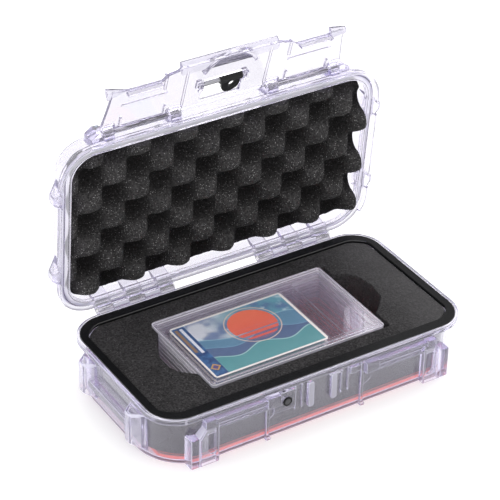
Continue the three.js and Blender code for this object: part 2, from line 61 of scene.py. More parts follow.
# ------------------------------------------------------------- node helpers
class Nodes:
    """Short calls for building a material's node tree."""

    def __init__(self, name):
        self.mat = bpy.data.materials.new(name)
        self.mat.use_nodes = True
        self.nt = self.mat.node_tree
        self.nt.nodes.clear()
        self.out = self.nt.nodes.new("ShaderNodeOutputMaterial")

    def put(self, socket, value):
        if value is None:
            return
        if isinstance(value, bpy.types.NodeSocket):
            self.nt.links.new(value, socket)
        elif isinstance(value, (tuple, list)) and len(value) == 3 and socket.type == "RGBA":
            socket.default_value = (*value, 1.0)
        else:
            socket.default_value = value

    def new(self, kind, **ins):
        n = self.nt.nodes.new(kind)
        for k, v in ins.items():
            self.put(n.inputs[k.replace("_", " ")], v)
        return n

    def obj(self):
        return self.nt.nodes.new("ShaderNodeTexCoord").outputs["Object"]

    def math(self, op, a, b=None, c=None, clamp=False):
        n = self.nt.nodes.new("ShaderNodeMath")
        n.operation = op
        n.use_clamp = clamp
        for i, v in enumerate((a, b, c)):
            self.put(n.inputs[i], v)
        return n.outputs[0]

    def xyz(self, vec):
        n = self.nt.nodes.new("ShaderNodeSeparateXYZ")
        self.put(n.inputs[0], vec)
        return n.outputs

    def join(self, x, y, z):
        n = self.nt.nodes.new("ShaderNodeCombineXYZ")
        for i, v in enumerate((x, y, z)):
            self.put(n.inputs[i], v)
        return n.outputs[0]

    def mix(self, fac, a, b, kind="MIX"):
        n = self.nt.nodes.new("ShaderNodeMix")
        n.data_type = "RGBA"
        n.blend_type = kind
        self.put(n.inputs["Factor"], fac)
        self.put(n.inputs[6], a)
        self.put(n.inputs[7], b)
        return n.outputs[2]

    def noise(self, vec, scale, detail=2.0, rough=0.5, out="Fac"):
        n = self.nt.nodes.new("ShaderNodeTexNoise")
        self.put(n.inputs["Vector"], vec)
        n.inputs["Scale"].default_value = scale
        n.inputs["Detail"].default_value = detail
        n.inputs["Roughness"].default_value = rough
        return n.outputs[out]

    def voronoi(self, vec, scale, feature="F1", out="Distance", rand=1.0):
        n = self.nt.nodes.new("ShaderNodeTexVoronoi")
        n.feature = feature
        self.put(n.inputs["Vector"], vec)
        n.inputs["Scale"].default_value = scale
        n.inputs["Randomness"].default_value = rand
        return n.outputs[out]

    def map(self, v, a, b, c, d, smooth=False):
        n = self.nt.nodes.new("ShaderNodeMapRange")
        if smooth:
            n.interpolation_type = "SMOOTHSTEP"
        for k, x in zip(("Value", "From Min", "From Max", "To Min", "To Max"), (v, a, b, c, d)):
            self.put(n.inputs[k], x)
        return n.outputs[0]

    def ramp(self, v, stops, interp="LINEAR"):
        n = self.nt.nodes.new("ShaderNodeValToRGB")
        n.color_ramp.interpolation = interp
        e = n.color_ramp.elements
        while len(e) > 1:
            e.remove(e[-1])
        e[0].position, e[0].color = stops[0][0], (*stops[0][1], 1)
        for pos, col in stops[1:]:
            x = e.new(pos)
            x.color = (*col, 1)
        self.put(n.inputs[0], v)
        return n.outputs[0]

    def bump(self, height, strength, distance, normal=None):
        n = self.nt.nodes.new("ShaderNodeBump")
        n.inputs["Strength"].default_value = strength
        n.inputs["Distance"].default_value = distance
        self.put(n.inputs["Height"], height)
        self.put(n.inputs["Normal"], normal)
        return n.outputs[0]

    def principled(self, **ins):
        n = self.nt.nodes.new("ShaderNodeBsdfPrincipled")
        for k, v in ins.items():
            self.put(n.inputs[k.replace("_", " ")], v)
        return n

    def finish(self, shader, volume=None):
        self.nt.links.new(shader, self.out.inputs["Surface"])
        if volume is not None:
            self.nt.links.new(volume, self.out.inputs["Volume"])
        return self.mat


# ---------------------------------------------------------------- materials
def clear_plastic(name, tint, through, absorb, density, rough=(0.015, 0.05), ior=1.585, wave=0.05, haze=(0.025, 0.13), milk=(0.80, 0.79, 0.90), sides=0.0, edge=0.0, place_at=None, keep=None, lip=0.0, outer_highlight=0.0, frame_haze=0.0):
    """Moulded clear plastic: faint flow marks, fine scuffs, a little haze that
    grows where it is seen edge on, and a tint that grows with the thickness
    that light crosses."""
    k = Nodes(name)
    o = k.obj()
    scuff = k.noise(o, 900.0, 3.0, 0.6)
    cloud = k.noise(o, 38.0, 2.0, 0.5)
    r = k.map(k.math("MULTIPLY", scuff, cloud), 0.12, 0.45, rough[0], rough[1])
    flow = k.noise(o, 55.0, 1.0, 0.4)
    fine = k.noise(o, 420.0, 2.0, 0.5)
    height = k.math("ADD", k.math("MULTIPLY", flow, 1.0), k.math("MULTIPLY", fine, 0.12))
    n = k.bump(height, wave, 0.002)
    p = k.principled(Base_Color=tint, Roughness=r, IOR=ior, Transmission_Weight=1.0, Normal=n)
    veil = k.new("ShaderNodeBsdfDiffuse", Color=k.mix(cloud, tuple(c * 0.94 for c in milk), milk))
    facing = k.nt.nodes.new("ShaderNodeLayerWeight")
    facing.inputs["Blend"].default_value = 0.5
    amount = k.map(facing.outputs["Facing"], 0.1, 0.8, haze[0], haze[1], True)
    geo = k.nt.nodes.new("ShaderNodeNewGeometry")
    own = k.nt.nodes.new("ShaderNodeVectorTransform")
    own.vector_type, own.convert_from, own.convert_to = "NORMAL", "WORLD", "OBJECT"
    k.put(own.inputs[0], geo.outputs["True Normal"])
    nx, ny, nz = k.xyz(own.outputs[0])
    px, py, pz = k.xyz(o)
    if place_at is not None:
        # Back to the frame in which the piece is drawn.
        inv = place_at.inverted()
        ny, nz = (k.math("ADD", k.math("MULTIPLY", ny, inv[i][1]), k.math("MULTIPLY", nz, inv[i][2])) for i in (1, 2))
        py, pz = (k.math("ADD", k.math("MULTIPLY", py, inv[i][1]), k.math("MULTIPLY_ADD", pz, inv[i][2], inv[i][3] * MM)) for i in (1, 2))
    along = k.math("ABSOLUTE", nz)
    if sides:
        amount = k.math("ADD", amount, k.map(along, 0.15, 0.75, sides, 0.0, True))
    if edge:
        # Painted highlight: the rounded edges get extra milky haze, so they show as light lines.
        rim = k.math("MULTIPLY", k.map(along, 0.14, 0.30, 0.0, edge), k.map(along, 0.90, 0.985, 1.0, 0.0))
        if keep:
            rim = k.math("MULTIPLY", rim, keep(k, px, py, pz))
        amount = k.math("MAXIMUM", amount, rim)
    if lip:
        # The flat sealing lip gets a milky haze; its two fine grooves and the flange's back edge get painted shade, as
        # dark lines.
        face = k.math("MULTIPLY", k.math("LESS_THAN", nz, -0.97), k.math("LESS_THAN", pz, (RIM + 0.6) * MM))
        amount = k.math("MAXIMUM", amount, k.math("MULTIPLY", face, lip))
        groove = k.math("MULTIPLY", k.math("LESS_THAN", nz, -0.97), k.math("COMPARE", pz, (RIM + 0.78) * MM, 0.15 * MM))
        back_edge = k.math("MULTIPLY", k.math("COMPARE", pz, (RIM + 2.85) * MM, 0.40 * MM), k.math("COMPARE", along, 0.58, 0.37))
        painted_shade_lines = k.math("MAXIMUM", groove, back_edge)
        amount = k.math("MAXIMUM", amount, k.math("MULTIPLY", painted_shade_lines, 0.55))
        # Painted shade: the veil turns dark along these lines.
        k.put(veil.inputs["Color"], k.mix(painted_shade_lines, milk, (0.20, 0.195, 0.215)))
    if frame_haze:
        # The flat frame round the sunk window.
        off = k.math("MAXIMUM", k.math("GREATER_THAN", k.math("ABSOLUTE", k.math("ADD", px, 0.0025)), 0.065), k.math("GREATER_THAN", k.math("ABSOLUTE", k.math("ADD", py, 0.00075)), 0.03625))
        amount = k.math("MAXIMUM", amount, k.math("MULTIPLY", off, frame_haze))
    if outer_highlight:
        # Painted highlights: milky haze on the upright edges of the parts outside the wall, and on the two lens ribs at
        # the front.
        beyond = k.math("MAXIMUM", k.math("MULTIPLY", k.math("GREATER_THAN", k.math("ABSOLUTE", px), 0.1212), 0.2), k.math("LESS_THAN", py, -0.0653))
        ax = k.math("ABSOLUTE", nx)
        upright = k.math("MULTIPLY", k.map(ax, 0.14, 0.30, 0.0, outer_highlight), k.map(ax, 0.90, 0.985, 1.0, 0.0))
        amount = k.math("MAXIMUM", amount, k.math("MULTIPLY", beyond, upright))
        lens = k.math("MULTIPLY", k.math("LESS_THAN", k.math("ABSOLUTE", px), 0.0135), k.math("LESS_THAN", py, -0.0664))
        amount = k.math("MAXIMUM", amount, k.math("MULTIPLY", lens, 0.34))
    body = k.nt.nodes.new("ShaderNodeMixShader")
    k.nt.links.new(amount, body.inputs[0])
    k.nt.links.new(p.outputs[0], body.inputs[1])
    k.nt.links.new(veil.outputs[0], body.inputs[2])
    clear = k.new("ShaderNodeBsdfTransparent", Color=through)
    path = k.nt.nodes.new("ShaderNodeLightPath")
    skip = k.math("MAXIMUM", path.outputs["Is Shadow Ray"], path.outputs["Is Diffuse Ray"])
    mix = k.nt.nodes.new("ShaderNodeMixShader")
    k.nt.links.new(skip, mix.inputs[0])
    k.nt.links.new(body.outputs[0], mix.inputs[1])
    k.nt.links.new(clear.outputs[0], mix.inputs[2])
    vol = k.new("ShaderNodeVolumeAbsorption", Color=absorb, Density=density)
    return k.finish(mix.outputs[0], vol.outputs[0])


def foam(name, dark, light, cell=1500.0, specks=0.0, speck_cell=900.0, speck=(0.55, 0.54, 0.54), strength=0.5, hollow_shade=None, pale=0.0):
    """Open-cell foam: a fine grain of pores, with the odd cell wall that
    catches the light. hollow_shade paints shade into the hollows of the open
    lid's sheet; pale paints light on the end at +x."""
    k = Nodes(name)
    o = k.obj()
    pores = k.voronoi(o, cell)
    grain = k.noise(o, cell * 0.55, 3.0, 0.65)
    cloud = k.noise(o, 45.0, 3.0, 0.55)
    v = k.math("ADD", k.math("MULTIPLY", pores, 0.7), k.math("MULTIPLY", grain, 0.75))
    c = k.mix(k.map(v, 0.35, 0.95, 0.0, 1.0), dark, light)
    c = k.mix(k.map(cloud, 0.3, 0.7, 0.0, 0.35), c, tuple(x * 0.62 for x in dark))
    rough = k.map(grain, 0.3, 0.7, 0.82, 1.0)
    if specks:
        cells = k.nt.nodes.new("ShaderNodeTexVoronoi")
        cells.feature = "F1"
        cells.inputs["Scale"].default_value = speck_cell
        k.put(cells.inputs["Vector"], o)
        pick = k.math("GREATER_THAN", k.xyz(cells.outputs["Color"])[0], 1.0 - specks)
        near = k.map(cells.outputs["Distance"], 0.12, 0.34, 1.0, 0.0, True)
        tone = k.map(k.xyz(cells.outputs["Color"])[1], 0.0, 1.0, 0.25, 1.0)
        c = k.mix(k.math("MULTIPLY", k.math("MULTIPLY", pick, near), tone), c, speck)
        rough = k.mix(k.math("MULTIPLY", pick, near), rough, (0.45, 0.45, 0.45))
    if hollow_shade:
        # Painted shade: the deeper the hollow of the open lid's sheet, the darker.
        x, y, z = k.xyz(o)
        up = k.math("MULTIPLY", k.math("SUBTRACT", y, HINGE.y), -math.sin(LID_OPEN))
        deep = k.math("MULTIPLY_ADD", k.math("SUBTRACT", z, HINGE.z), math.cos(LID_OPEN), up)
        c = k.mix(k.map(deep, hollow_shade[0] * MM, hollow_shade[1] * MM, 0.0, hollow_shade[2], True), c, (0.0015, 0.0013, 0.0013))
    if pale:
        # Painted light: the foam is lightened towards the end at +x, as a sheen.
        c = k.mix(k.map(k.xyz(o)[0], 0.055, 0.112, 0.0, pale, True), c, (0.13, 0.127, 0.13))
    n = k.bump(v, strength, 0.0006)
    p = k.principled(Base_Color=c, Roughness=rough, Normal=n, Specular_IOR_Level=0.06)
    return k.finish(p.outputs[0])


def red_pad():
    k = Nodes("red_pad")
    o = k.obj()
    grain = k.noise(o, 700.0, 3.0, 0.6)
    cloud = k.noise(o, 40.0, 2.0, 0.5)
    c = k.mix(k.map(grain, 0.3, 0.7, 0.0, 1.0), (0.72, 0.090, 0.075), (0.90, 0.20, 0.17))
    c = k.mix(k.map(cloud, 0.35, 0.7, 0.0, 0.25), c, (0.95, 0.33, 0.28))
    geo = k.nt.nodes.new("ShaderNodeNewGeometry")
    side = k.map(k.math("ABSOLUTE", k.xyz(geo.outputs["True Normal"])[2]), 0.5, 0.8, 1.0, 0.0)
    # The pad's sides turn almost black towards their top.
    upper_side_dark = k.math("MULTIPLY", side, k.map(k.xyz(o)[2], 0.0046, 0.0066, 0.0, 1.0, True))
    c = k.mix(upper_side_dark, c, (0.050, 0.040, 0.042))
    n = k.bump(grain, 0.35, 0.0004)
    return k.finish(k.principled(Base_Color=c, Roughness=k.map(grain, 0.3, 0.7, 0.6, 0.85), Normal=n).outputs[0])


def rubber():
    k = Nodes("gasket_black")
    o = k.obj()
    g = k.noise(o, 1200.0, 3.0, 0.6)
    c = k.mix(k.map(g, 0.3, 0.7, 0.0, 1.0), (0.004, 0.004, 0.0045), (0.010, 0.010, 0.011))
    n = k.bump(g, 0.15, 0.0003)
    geo = k.nt.nodes.new("ShaderNodeNewGeometry")
    worn = k.math("COMPARE", k.math("ABSOLUTE", k.xyz(geo.outputs["True Normal"])[2]), 0.58, 0.38)
    r = k.mix(worn, k.map(g, 0.3, 0.7, 0.26, 0.40), (0.14, 0.14, 0.14))
    return k.finish(k.principled(Base_Color=c, Roughness=r, Normal=n, Specular_IOR_Level=k.map(worn, 0.0, 1.0, 0.05, 1.0)).outputs[0])


def metal(name, dark, light, rough, metallic=1.0, lines=2600.0, crisp=(0.3, 0.7)):
    """Drawn wire: faint grain along the length and a little clouding."""
    k = Nodes(name)
    o = k.obj()
    x, y, z = k.xyz(o)
    drawn = k.noise(k.join(k.math("MULTIPLY", x, 0.05), y, z), lines, 2.0, 0.6)
    cloud = k.noise(o, 160.0, 2.0, 0.5)
    c = k.mix(k.map(drawn, crisp[0], crisp[1], 0.0, 1.0), dark, light)
    r = k.map(cloud, 0.3, 0.7, rough[0], rough[1])
    n = k.bump(drawn, 0.12, 0.0002)
    return k.finish(k.principled(Base_Color=c, Roughness=r, Metallic=metallic, Normal=n).outputs[0])


def moulded(name, dark, light, rough=(0.3, 0.45), grain=900.0, strength=0.15, spec=0.5):
    k = Nodes(name)
    o = k.obj()
    g = k.noise(o, grain, 3.0, 0.6)
    cloud = k.noise(o, 80.0, 2.0, 0.5)
    c = k.mix(k.map(g, 0.3, 0.7, 0.0, 1.0), dark, light)
    r = k.map(cloud, 0.3, 0.7, rough[0], rough[1])
    n = k.bump(g, strength, 0.0003)
    return k.finish(k.principled(Base_Color=c, Roughness=r, Normal=n, Specular_IOR_Level=spec).outputs[0])


def card_print():
    """Printed card: cream border, a picture of plain shapes (sun over layered
    hills), a navy side band with a bronze bar and a pale bar."""
    k = Nodes("card_print")
    x, y, z = k.xyz(k.obj())
    u = k.math("MULTIPLY", x, 1000.0)          # millimetres, part frame
    v = k.math("MULTIPLY", y, 1000.0)
    vec = k.join(u, v, 0.0)

    def step(a, edge, soft=0.12):
        return k.map(a, edge - soft, edge + soft, 0.0, 1.0)

    def band(a, lo, hi, soft=0.12):
        return k.math("MULTIPLY", step(a, lo, soft), k.math("SUBTRACT", 1.0, step(a, hi, soft)))

    def window(x0, x1, y0, y1, soft=0.12):
        return k.math("MULTIPLY", band(u, x0, x1, soft), band(v, y0, y1, soft))

    blur = k.noise(vec, 0.055, 2.0, 0.5)
    blur2 = k.noise(k.join(k.math("ADD", u, 40.0), v, 0.0), 0.09, 2.0, 0.5)
    # Ground of the picture: pale grey at the left, teal and blue to the right.
    sky = k.mix(k.map(u, -46.0, -8.0, 0.0, 1.0, True), (0.62, 0.66, 0.70), (0.05, 0.30, 0.38))
    sky = k.mix(k.map(blur, 0.42, 0.62, 0.0, 0.85, True), sky, (0.02, 0.10, 0.28))
    sky = k.mix(k.map(blur2, 0.55, 0.7, 0.0, 0.8, True), sky, (0.60, 0.78, 0.82))
    # Hills: three waves, each with a fine lighter ridge line.
    pic = sky
    for base, amp, freq, phase, col, ridge in (
        (4.0, 5.0, 0.085, 0.6, (0.040, 0.20, 0.33), (0.20, 0.45, 0.55)),
        (-6.0, 4.0, 0.12, 2.1, (0.012, 0.075, 0.21), (0.10, 0.30, 0.45)),
        (-17.0, 3.2, 0.16, 4.0, (0.02, 0.26, 0.27), (0.35, 0.62, 0.58)),
    ):
        wave = k.math("MULTIPLY_ADD", k.math("SINE", k.math("MULTIPLY_ADD", u, freq, phase)), amp, base)
        under = k.math("SUBTRACT", wave, v)
        pic = k.mix(step(under, 0.0, 0.2), pic, col)
        pic = k.mix(band(under, 0.0, 0.8, 0.15), pic, ridge)
    # Sun: an orange disc cut by pale bars low down.
    du = k.math("SUBTRACT", u, -10.0)
    dv = k.math("SUBTRACT", v, 5.0)
    rad = k.math("SQRT", k.math("ADD", k.math("MULTIPLY", du, du), k.math("MULTIPLY", dv, dv)))
    disc = k.math("SUBTRACT", 1.0, step(rad, 17.5, 0.2))
    heat = k.mix(k.map(dv, -17.0, 17.0, 0.0, 1.0), (0.74, 0.040, 0.006), (0.90, 0.120, 0.016))
    stripe = k.math("PINGPONG", k.math("ADD", dv, 40.0), 2.4)
    cutline = k.map(dv, -16.0, -1.0, 1.7, 0.0)
    bars = k.math("LESS_THAN", stripe, cutline)
    disc = k.math("MULTIPLY", disc, k.math("SUBTRACT", 1.0, k.math("MULTIPLY", bars, 0.85)))
    pic = k.mix(disc, pic, heat)
    ring = band(rad, 19.3, 20.1, 0.15)
    pic = k.mix(k.math("MULTIPLY", ring, 0.8), pic, (0.85, 0.62, 0.42))
    # Grain of the screen print.
    dots = k.voronoi(vec, 3.2, rand=0.2)
    pic = k.mix(k.map(dots, 0.15, 0.6, 0.0, 0.16), pic, (0.92, 0.90, 0.86))
    # Cream stock all round, then the picture, then the side band.
    paper_noise = k.noise(vec, 1.4, 4.0, 0.6)
    paper = k.mix(k.map(paper_noise, 0.3, 0.7, 0.0, 1.0), (0.88, 0.83, 0.74), (0.93, 0.90, 0.84))
    col = k.mix(window(-52.0, 24.2, -33.4, 26.8), paper, pic)
    navy = k.mix(k.map(k.noise(vec, 0.22, 3.0, 0.6), 0.35, 0.7, 0.0, 1.0), (0.012, 0.045, 0.16), (0.05, 0.17, 0.36))
    col = k.mix(window(-61.4, -52.0, -33.4, 26.8), col, navy)
    bronze = k.mix(k.map(paper_noise, 0.3, 0.7, 0.0, 1.0), (0.22, 0.13, 0.07), (0.36, 0.24, 0.14))
    col = k.mix(window(-60.2, -57.8, -4.0, 24.8), col, bronze)
    col = k.mix(window(-56.4, -54.2, -6.0, 24.8), col, (0.80, 0.82, 0.86))
    # Bronze lozenge low on the band.
    loz = k.math("ADD", k.math("ABSOLUTE", k.math("SUBTRACT", u, -56.7)), k.math("ABSOLUTE", k.math("SUBTRACT", v, -24.0)))
    col = k.mix(k.math("SUBTRACT", 1.0, step(loz, 4.0, 0.15)), col, (0.55, 0.33, 0.10))
    col = k.mix(k.math("SUBTRACT", 1.0, step(loz, 2.5, 0.15)), col, (0.10, 0.07, 0.20))
    rough = k.map(paper_noise, 0.3, 0.7, 0.26, 0.38)
    n = k.bump(paper_noise, 0.08, 0.1)
    return k.finish(k.principled(Base_Color=col, Roughness=rough, Normal=n, Coat_Weight=0.25).outputs[0])


HY_, HZ_ = 70.55, 40.27             # hinge axis
LY_, LZ_ = -71.0, RIM + 7.0         # latch pin axis, lid shut
LID_M = Matrix.Translation((0, HY_, HZ_)) @ Matrix.Rotation(LID_OPEN, 4, "X") @ Matrix.Translation((0, -HY_, -HZ_))
LATCH_M = LID_M @ Matrix.Translation((0, LY_, LZ_)) @ Matrix.Rotation(math.radians(-77.5), 4, "X")


def off_knuckles(k, px, py, pz):
    return k.math("LESS_THAN", k.math("ABSOLUTE", py), 0.0684)


def off_barrel(k, px, py, pz):
    return k.math("LESS_THAN", pz, -0.0042)


M = {
    "case": clear_plastic("clear_case", (0.965, 0.955, 0.985), (0.955, 0.945, 0.968), (0.62, 0.55, 0.88), 32.0, haze=(0.035, 0.21), wave=0.025, edge=0.55, keep=off_knuckles, outer_highlight=0.5),
    "lid": clear_plastic("clear_lid", (0.885, 0.875, 0.905), (0.955, 0.945, 0.968), (0.62, 0.55, 0.88), 32.0, haze=(0.03, 0.14), wave=0.03, milk=(0.84, 0.835, 0.89), edge=0.16, place_at=LID_M, keep=off_knuckles, lip=0.36),
    "latch": clear_plastic("clear_latch", (0.748, 0.738, 0.768), (0.97, 0.965, 0.98), (0.62, 0.55, 0.88), 26.0, haze=(0.03, 0.10), milk=(0.50, 0.48, 0.60), edge=0.24, place_at=LATCH_M, keep=off_barrel),
    "slab": clear_plastic("clear_slab", (0.985, 0.980, 0.992), (0.985, 0.98, 0.99), (0.70, 0.64, 0.88), 20.0, rough=(0.01, 0.03), ior=1.50, haze=(0.004, 0.034), wave=0.004, milk=(0.84, 0.82, 0.88), sides=0.30, edge=0.75, frame_haze=0.06),
    "foam_base": foam("foam_base", (0.008, 0.0076, 0.0079), (0.052, 0.050, 0.0515), cell=760.0, specks=0.24, speck_cell=1000.0, speck=(0.15, 0.145, 0.15), strength=1.0, pale=0.32),
    "foam_lid": foam("foam_lid", (0.011, 0.0107, 0.0107), (0.058, 0.0560, 0.0560), cell=800.0, specks=0.34, speck_cell=1150.0, strength=1.0, hollow_shade=(-1.0, 11.0, 0.75)),
    "pad": red_pad(),
    "gasket": rubber(),
    "steel": metal("pin_bright", (0.55, 0.55, 0.57), (0.78, 0.78, 0.80), (0.18, 0.32)),
    "rod": metal("pin_grey", (0.22, 0.22, 0.235), (0.46, 0.46, 0.48), (0.26, 0.40), 0.7),
    "dim_steel": metal("pin_dim", (0.05, 0.045, 0.047), (0.92, 0.91, 0.92), (0.14, 0.24), lines=1100.0, crisp=(0.47, 0.53)),
    "black": moulded("black_moulded", (0.004, 0.004, 0.004), (0.010, 0.010, 0.011), spec=0.2),
    "membrane": moulded("membrane_dark", (0.016, 0.016, 0.018), (0.050, 0.050, 0.055), (0.3, 0.5), 2400.0, 0.5),
    "card": card_print(),
}


# ------------------------------------------------------------ solid modelling
# Solids are drawn in millimetres with their edges already rounded, joined and
# cut, and then scaled to metres.
def link(ob):
    SCENE.collection.objects.link(ob)
    return ob


def ccw(pts):
    area = sum(a[0] * b[1] - b[0] * a[1] for a, b in zip(pts, pts[1:] + pts[:1]))
    return list(pts) if area > 0 else list(reversed(pts))


def fillet(pts, r, n=3):
    """An outline with its corners rounded."""
    out = []
    for i, p in enumerate(pts):
        p = Vector(p)
        a, b = Vector(pts[i - 1]) - p, Vector(pts[(i + 1) % len(pts)]) - p
        la, lb = a.length, b.length
        a.normalize()
        b.normalize()
        between = math.acos(max(-1.0, min(1.0, a.dot(b))))
        turn = math.pi - between
        if turn < 0.10 or r <= 0:
            out.append((p.x, p.y))
            continue
        t = min(r * math.tan(turn / 2), 0.47 * la, 0.47 * lb)
        rad = t / math.tan(turn / 2)
        c = p + (a + b).normalized() * (rad / math.sin(between / 2))
        v0, v1 = p + a * t - c, p + b * t - c
        sign = 1.0 if v0.x * v1.y - v0.y * v1.x > 0 else -1.0
        steps = max(1, round(n * turn / (math.pi / 2))) if turn < 1.2 else n
        for k in range(steps + 1):
            th = sign * turn * k / steps
            cs, sn = math.cos(th), math.sin(th)
            out.append((c.x + v0.x * cs - v0.y * sn, c.y + v0.x * sn + v0.y * cs))
    return out


def offset(pts, d):
    """The outline moved inwards by d (outwards where d is negative)."""
    out = []
    for i, p in enumerate(pts):
        p = Vector(p)
        e1 = (p - Vector(pts[i - 1])).normalized()
        e2 = (Vector(pts[(i + 1) % len(pts)]) - p).normalized()
        n1, n2 = Vector((-e1.y, e1.x)), Vector((-e2.y, e2.x))
        q = p + (n1 + n2) * (d / max(0.35, 1.0 + n1.dot(n2)))
        out.append((q.x, q.y))
    return out


def rr(hx, hy, r, n=16, cx=0.0, cy=0.0):
    """Rounded rectangle by half sizes."""
    q = []
    for i in range(n + 1):
        a = i / n * math.pi / 2
        q.append((hx - r + r * math.cos(a), hy - r + r * math.sin(a)))
    full = q + [(-x, y) for x, y in reversed(q)] + [(-x, -y) for x, y in q] + [(x, -y) for x, y in reversed(q)]
    return [(x + cx, y + cy) for x, y in full]


def rect(x0, x1, y0, y1):
    return [(x0, y0), (x1, y0), (x1, y1), (x0, y1)]


def flip(s, pts):
    return [(s * x, y) for x, y in pts]


def at(pts, a, axis):
    if axis == "z":
        return [(u, v, a) for u, v in pts]
    if axis == "x":
        return [(a, u, v) for u, v in pts]
    return [(u, a, v) for u, v in pts]


def solid(rings):
    """A closed solid through rings of points, capped at both ends."""
    bm = bmesh.new()
    loops = [[bm.verts.new(p) for p in ring] for ring in rings]
    n = len(rings[0])
    for a, b in zip(loops, loops[1:]):
        for i in range(n):
            j = (i + 1) % n
            bm.faces.new((a[i], a[j], b[j], b[i]))
    bm.faces.new(list(reversed(loops[0])))
    bm.faces.new(loops[-1])
    bmesh.ops.recalc_face_normals(bm, faces=bm.faces)
    me = bpy.data.meshes.new("part")
    bm.to_mesh(me)
    bm.free()
    return link(bpy.data.objects.new("part", me))


def arc(r, steps=3):
    """(inset, depth) pairs that round an edge, from the end face inwards."""
    return [(r * (1 - math.sin(k / steps * math.pi / 2)), r * (1 - math.cos(k / steps * math.pi / 2))) for k in range(steps + 1)]


def prism(pts, a0, a1, axis="z", r=0.35, f=None, ends=(True, True), n=3):
    """An outline along an axis, corners rounded by f and end edges by r."""
    pts = ccw(pts)
    f = r * 1.05 if f is None else f
    if f > 0:
        pts = fillet(pts, f, n)
    levels = [(i, a0 + d) for i, d in arc(r)] if ends[0] and r > 0 else [(0, a0)]
    levels += [(i, a1 - d) for i, d in reversed(arc(r))] if ends[1] and r > 0 else [(0, a1)]
    return solid([at(offset(pts, i) if i else pts, a, axis) for i, a in levels])


def box(x0, x1, y0, y1, z0, z1, r=0.35):
    return prism(rect(x0, x1, y0, y1), z0, z1, "z", r)


def sbox(s, x0, x1, y0, y1, z0, z1, r=0.35):
    return box(min(s * x0, s * x1), max(s * x0, s * x1), y0, y1, z0, z1, r)


def sprism_x(s, pts, x0, x1, r=0.35, f=None):
    return prism(pts, min(s * x0, s * x1), max(s * x0, s * x1), "x", r, f)


def flared(pts, a0, a1, r, axis="z", past=1.0):
    """A cutter whose mouth at a1 rounds the edge that it leaves."""
    pts = ccw(pts)
    s = 1.0 if a1 > a0 else -1.0
    rings = [at(pts, a0, axis), at(pts, a1 - s * r, axis)]
    for k in (1, 2, 3):
        t = k / 3 * math.pi / 2
        rings.append(at(offset(pts, -r * (1 - math.cos(t))), a1 - s * r * (1 - math.sin(t)), axis))
    rings.append(at(offset(pts, -r), a1 + s * past, axis))
    return solid(rings)


def levels(steps, axis="z"):
    return solid([at(pts, a, axis) for a, pts in steps])


def taper(a, xa, b, xb, r=0.8, f=2.2):
    """A block along x whose outline goes from a to b, rounded at the b end."""
    pa, pb = fillet(ccw(a), f, 4), fillet(ccw(b), min(f, 1.6), 4)

    def lerp(x):
        t = (x - xa) / (xb - xa)
        return [(p[0] + (q[0] - p[0]) * t, p[1] + (q[1] - p[1]) * t) for p, q in zip(pa, pb)]

    s = 1.0 if xb > xa else -1.0
    rings = [at(pa, xa, "x")]
    for i, d in reversed(arc(r)):
        x = xb - s * d
        rings.append(at(offset(lerp(x), i), x, "x"))
    return solid(rings)


def circle(r, cu, cv, n=40):
    return [(cu + r * math.cos(2 * math.pi * k / n), cv + r * math.sin(2 * math.pi * k / n)) for k in range(n)]


def cyl(r, a0, a1, cu, cv, axis="x", e=0.25, n=40):
    return prism(circle(r, cu, cv, n), min(a0, a1), max(a0, a1), axis, e, 0)


def finish_mesh(me, name, matrix=None, sharp=14.0):
    """Tidies a mesh, sets it in its place in metres and shades it."""
    bm = bmesh.new()
    bm.from_mesh(me)
    bmesh.ops.remove_doubles(bm, verts=bm.verts, dist=0.004)
    bmesh.ops.dissolve_degenerate(bm, dist=0.002, edges=bm.edges)
    if matrix is not None:
        bmesh.ops.transform(bm, matrix=matrix, verts=bm.verts)
    bmesh.ops.scale(bm, vec=(MM, MM, MM), verts=bm.verts)
    limit = math.radians(sharp)
    for f in bm.faces:
        f.smooth = True
    for e in bm.edges:
        e.smooth = len(e.link_faces) == 2 and e.calc_face_angle(0.0) < limit
    bm.to_mesh(me)
    bm.free()
    me.name = name
    ob = link(bpy.data.objects.new(name, me))
    wn = ob.modifiers.new("Weighted", "WEIGHTED_NORMAL")
    wn.mode = "FACE_AREA"
    wn.keep_sharp = True
    return ob


def carve(parts, cuts=()):
    """Joins the parts, then takes the cutters away."""
    base = parts[0]
    for kind, group in (("UNION", parts[1:]), ("DIFFERENCE", cuts)):
        for ob in group:
            m = base.modifiers.new(kind, "BOOLEAN")
            m.operation = kind
            m.solver = "MANIFOLD"
            m.object = ob
    bpy.context.view_layer.update()
    dg = bpy.context.evaluated_depsgraph_get()
    me = bpy.data.meshes.new_from_object(base.evaluated_get(dg), preserve_all_data_layers=True, depsgraph=dg)
    for ob in [*parts, *cuts]:
        old = ob.data
        bpy.data.objects.remove(ob)
        bpy.data.meshes.remove(old)
    return me


def place(ob, body, material, slot, *nodes):
    ob.data.materials.clear()
    ob.data.materials.append(material)
    if nodes:
        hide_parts(*nodes)
    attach(ob, body)
    return ob


GASKET_Q = [(113.8, 45.6), (112.7, 48.4), (110.6, 50.8), (107.6, 53.1), (104.6, 55.1), (101.2, 56.3)]


def gasket_outline(d):
    """Inner outline of the gasket, moved inwards by d."""
    q = [(x - d, y - d) for x, y in GASKET_Q]
    full = q + [(-x, y) for x, y in reversed(q)] + [(-x, -y) for x, y in q] + [(x, -y) for x, y in reversed(q)]
    return fillet(full, 7.0, 6)


BASE_KNUCKLES = ((46.3, 58.2), (70.8, 82.7))
LID_KNUCKLES = ((34.5, 46.0), (58.5, 70.5), (83.0, 94.5))
LZ = RIM


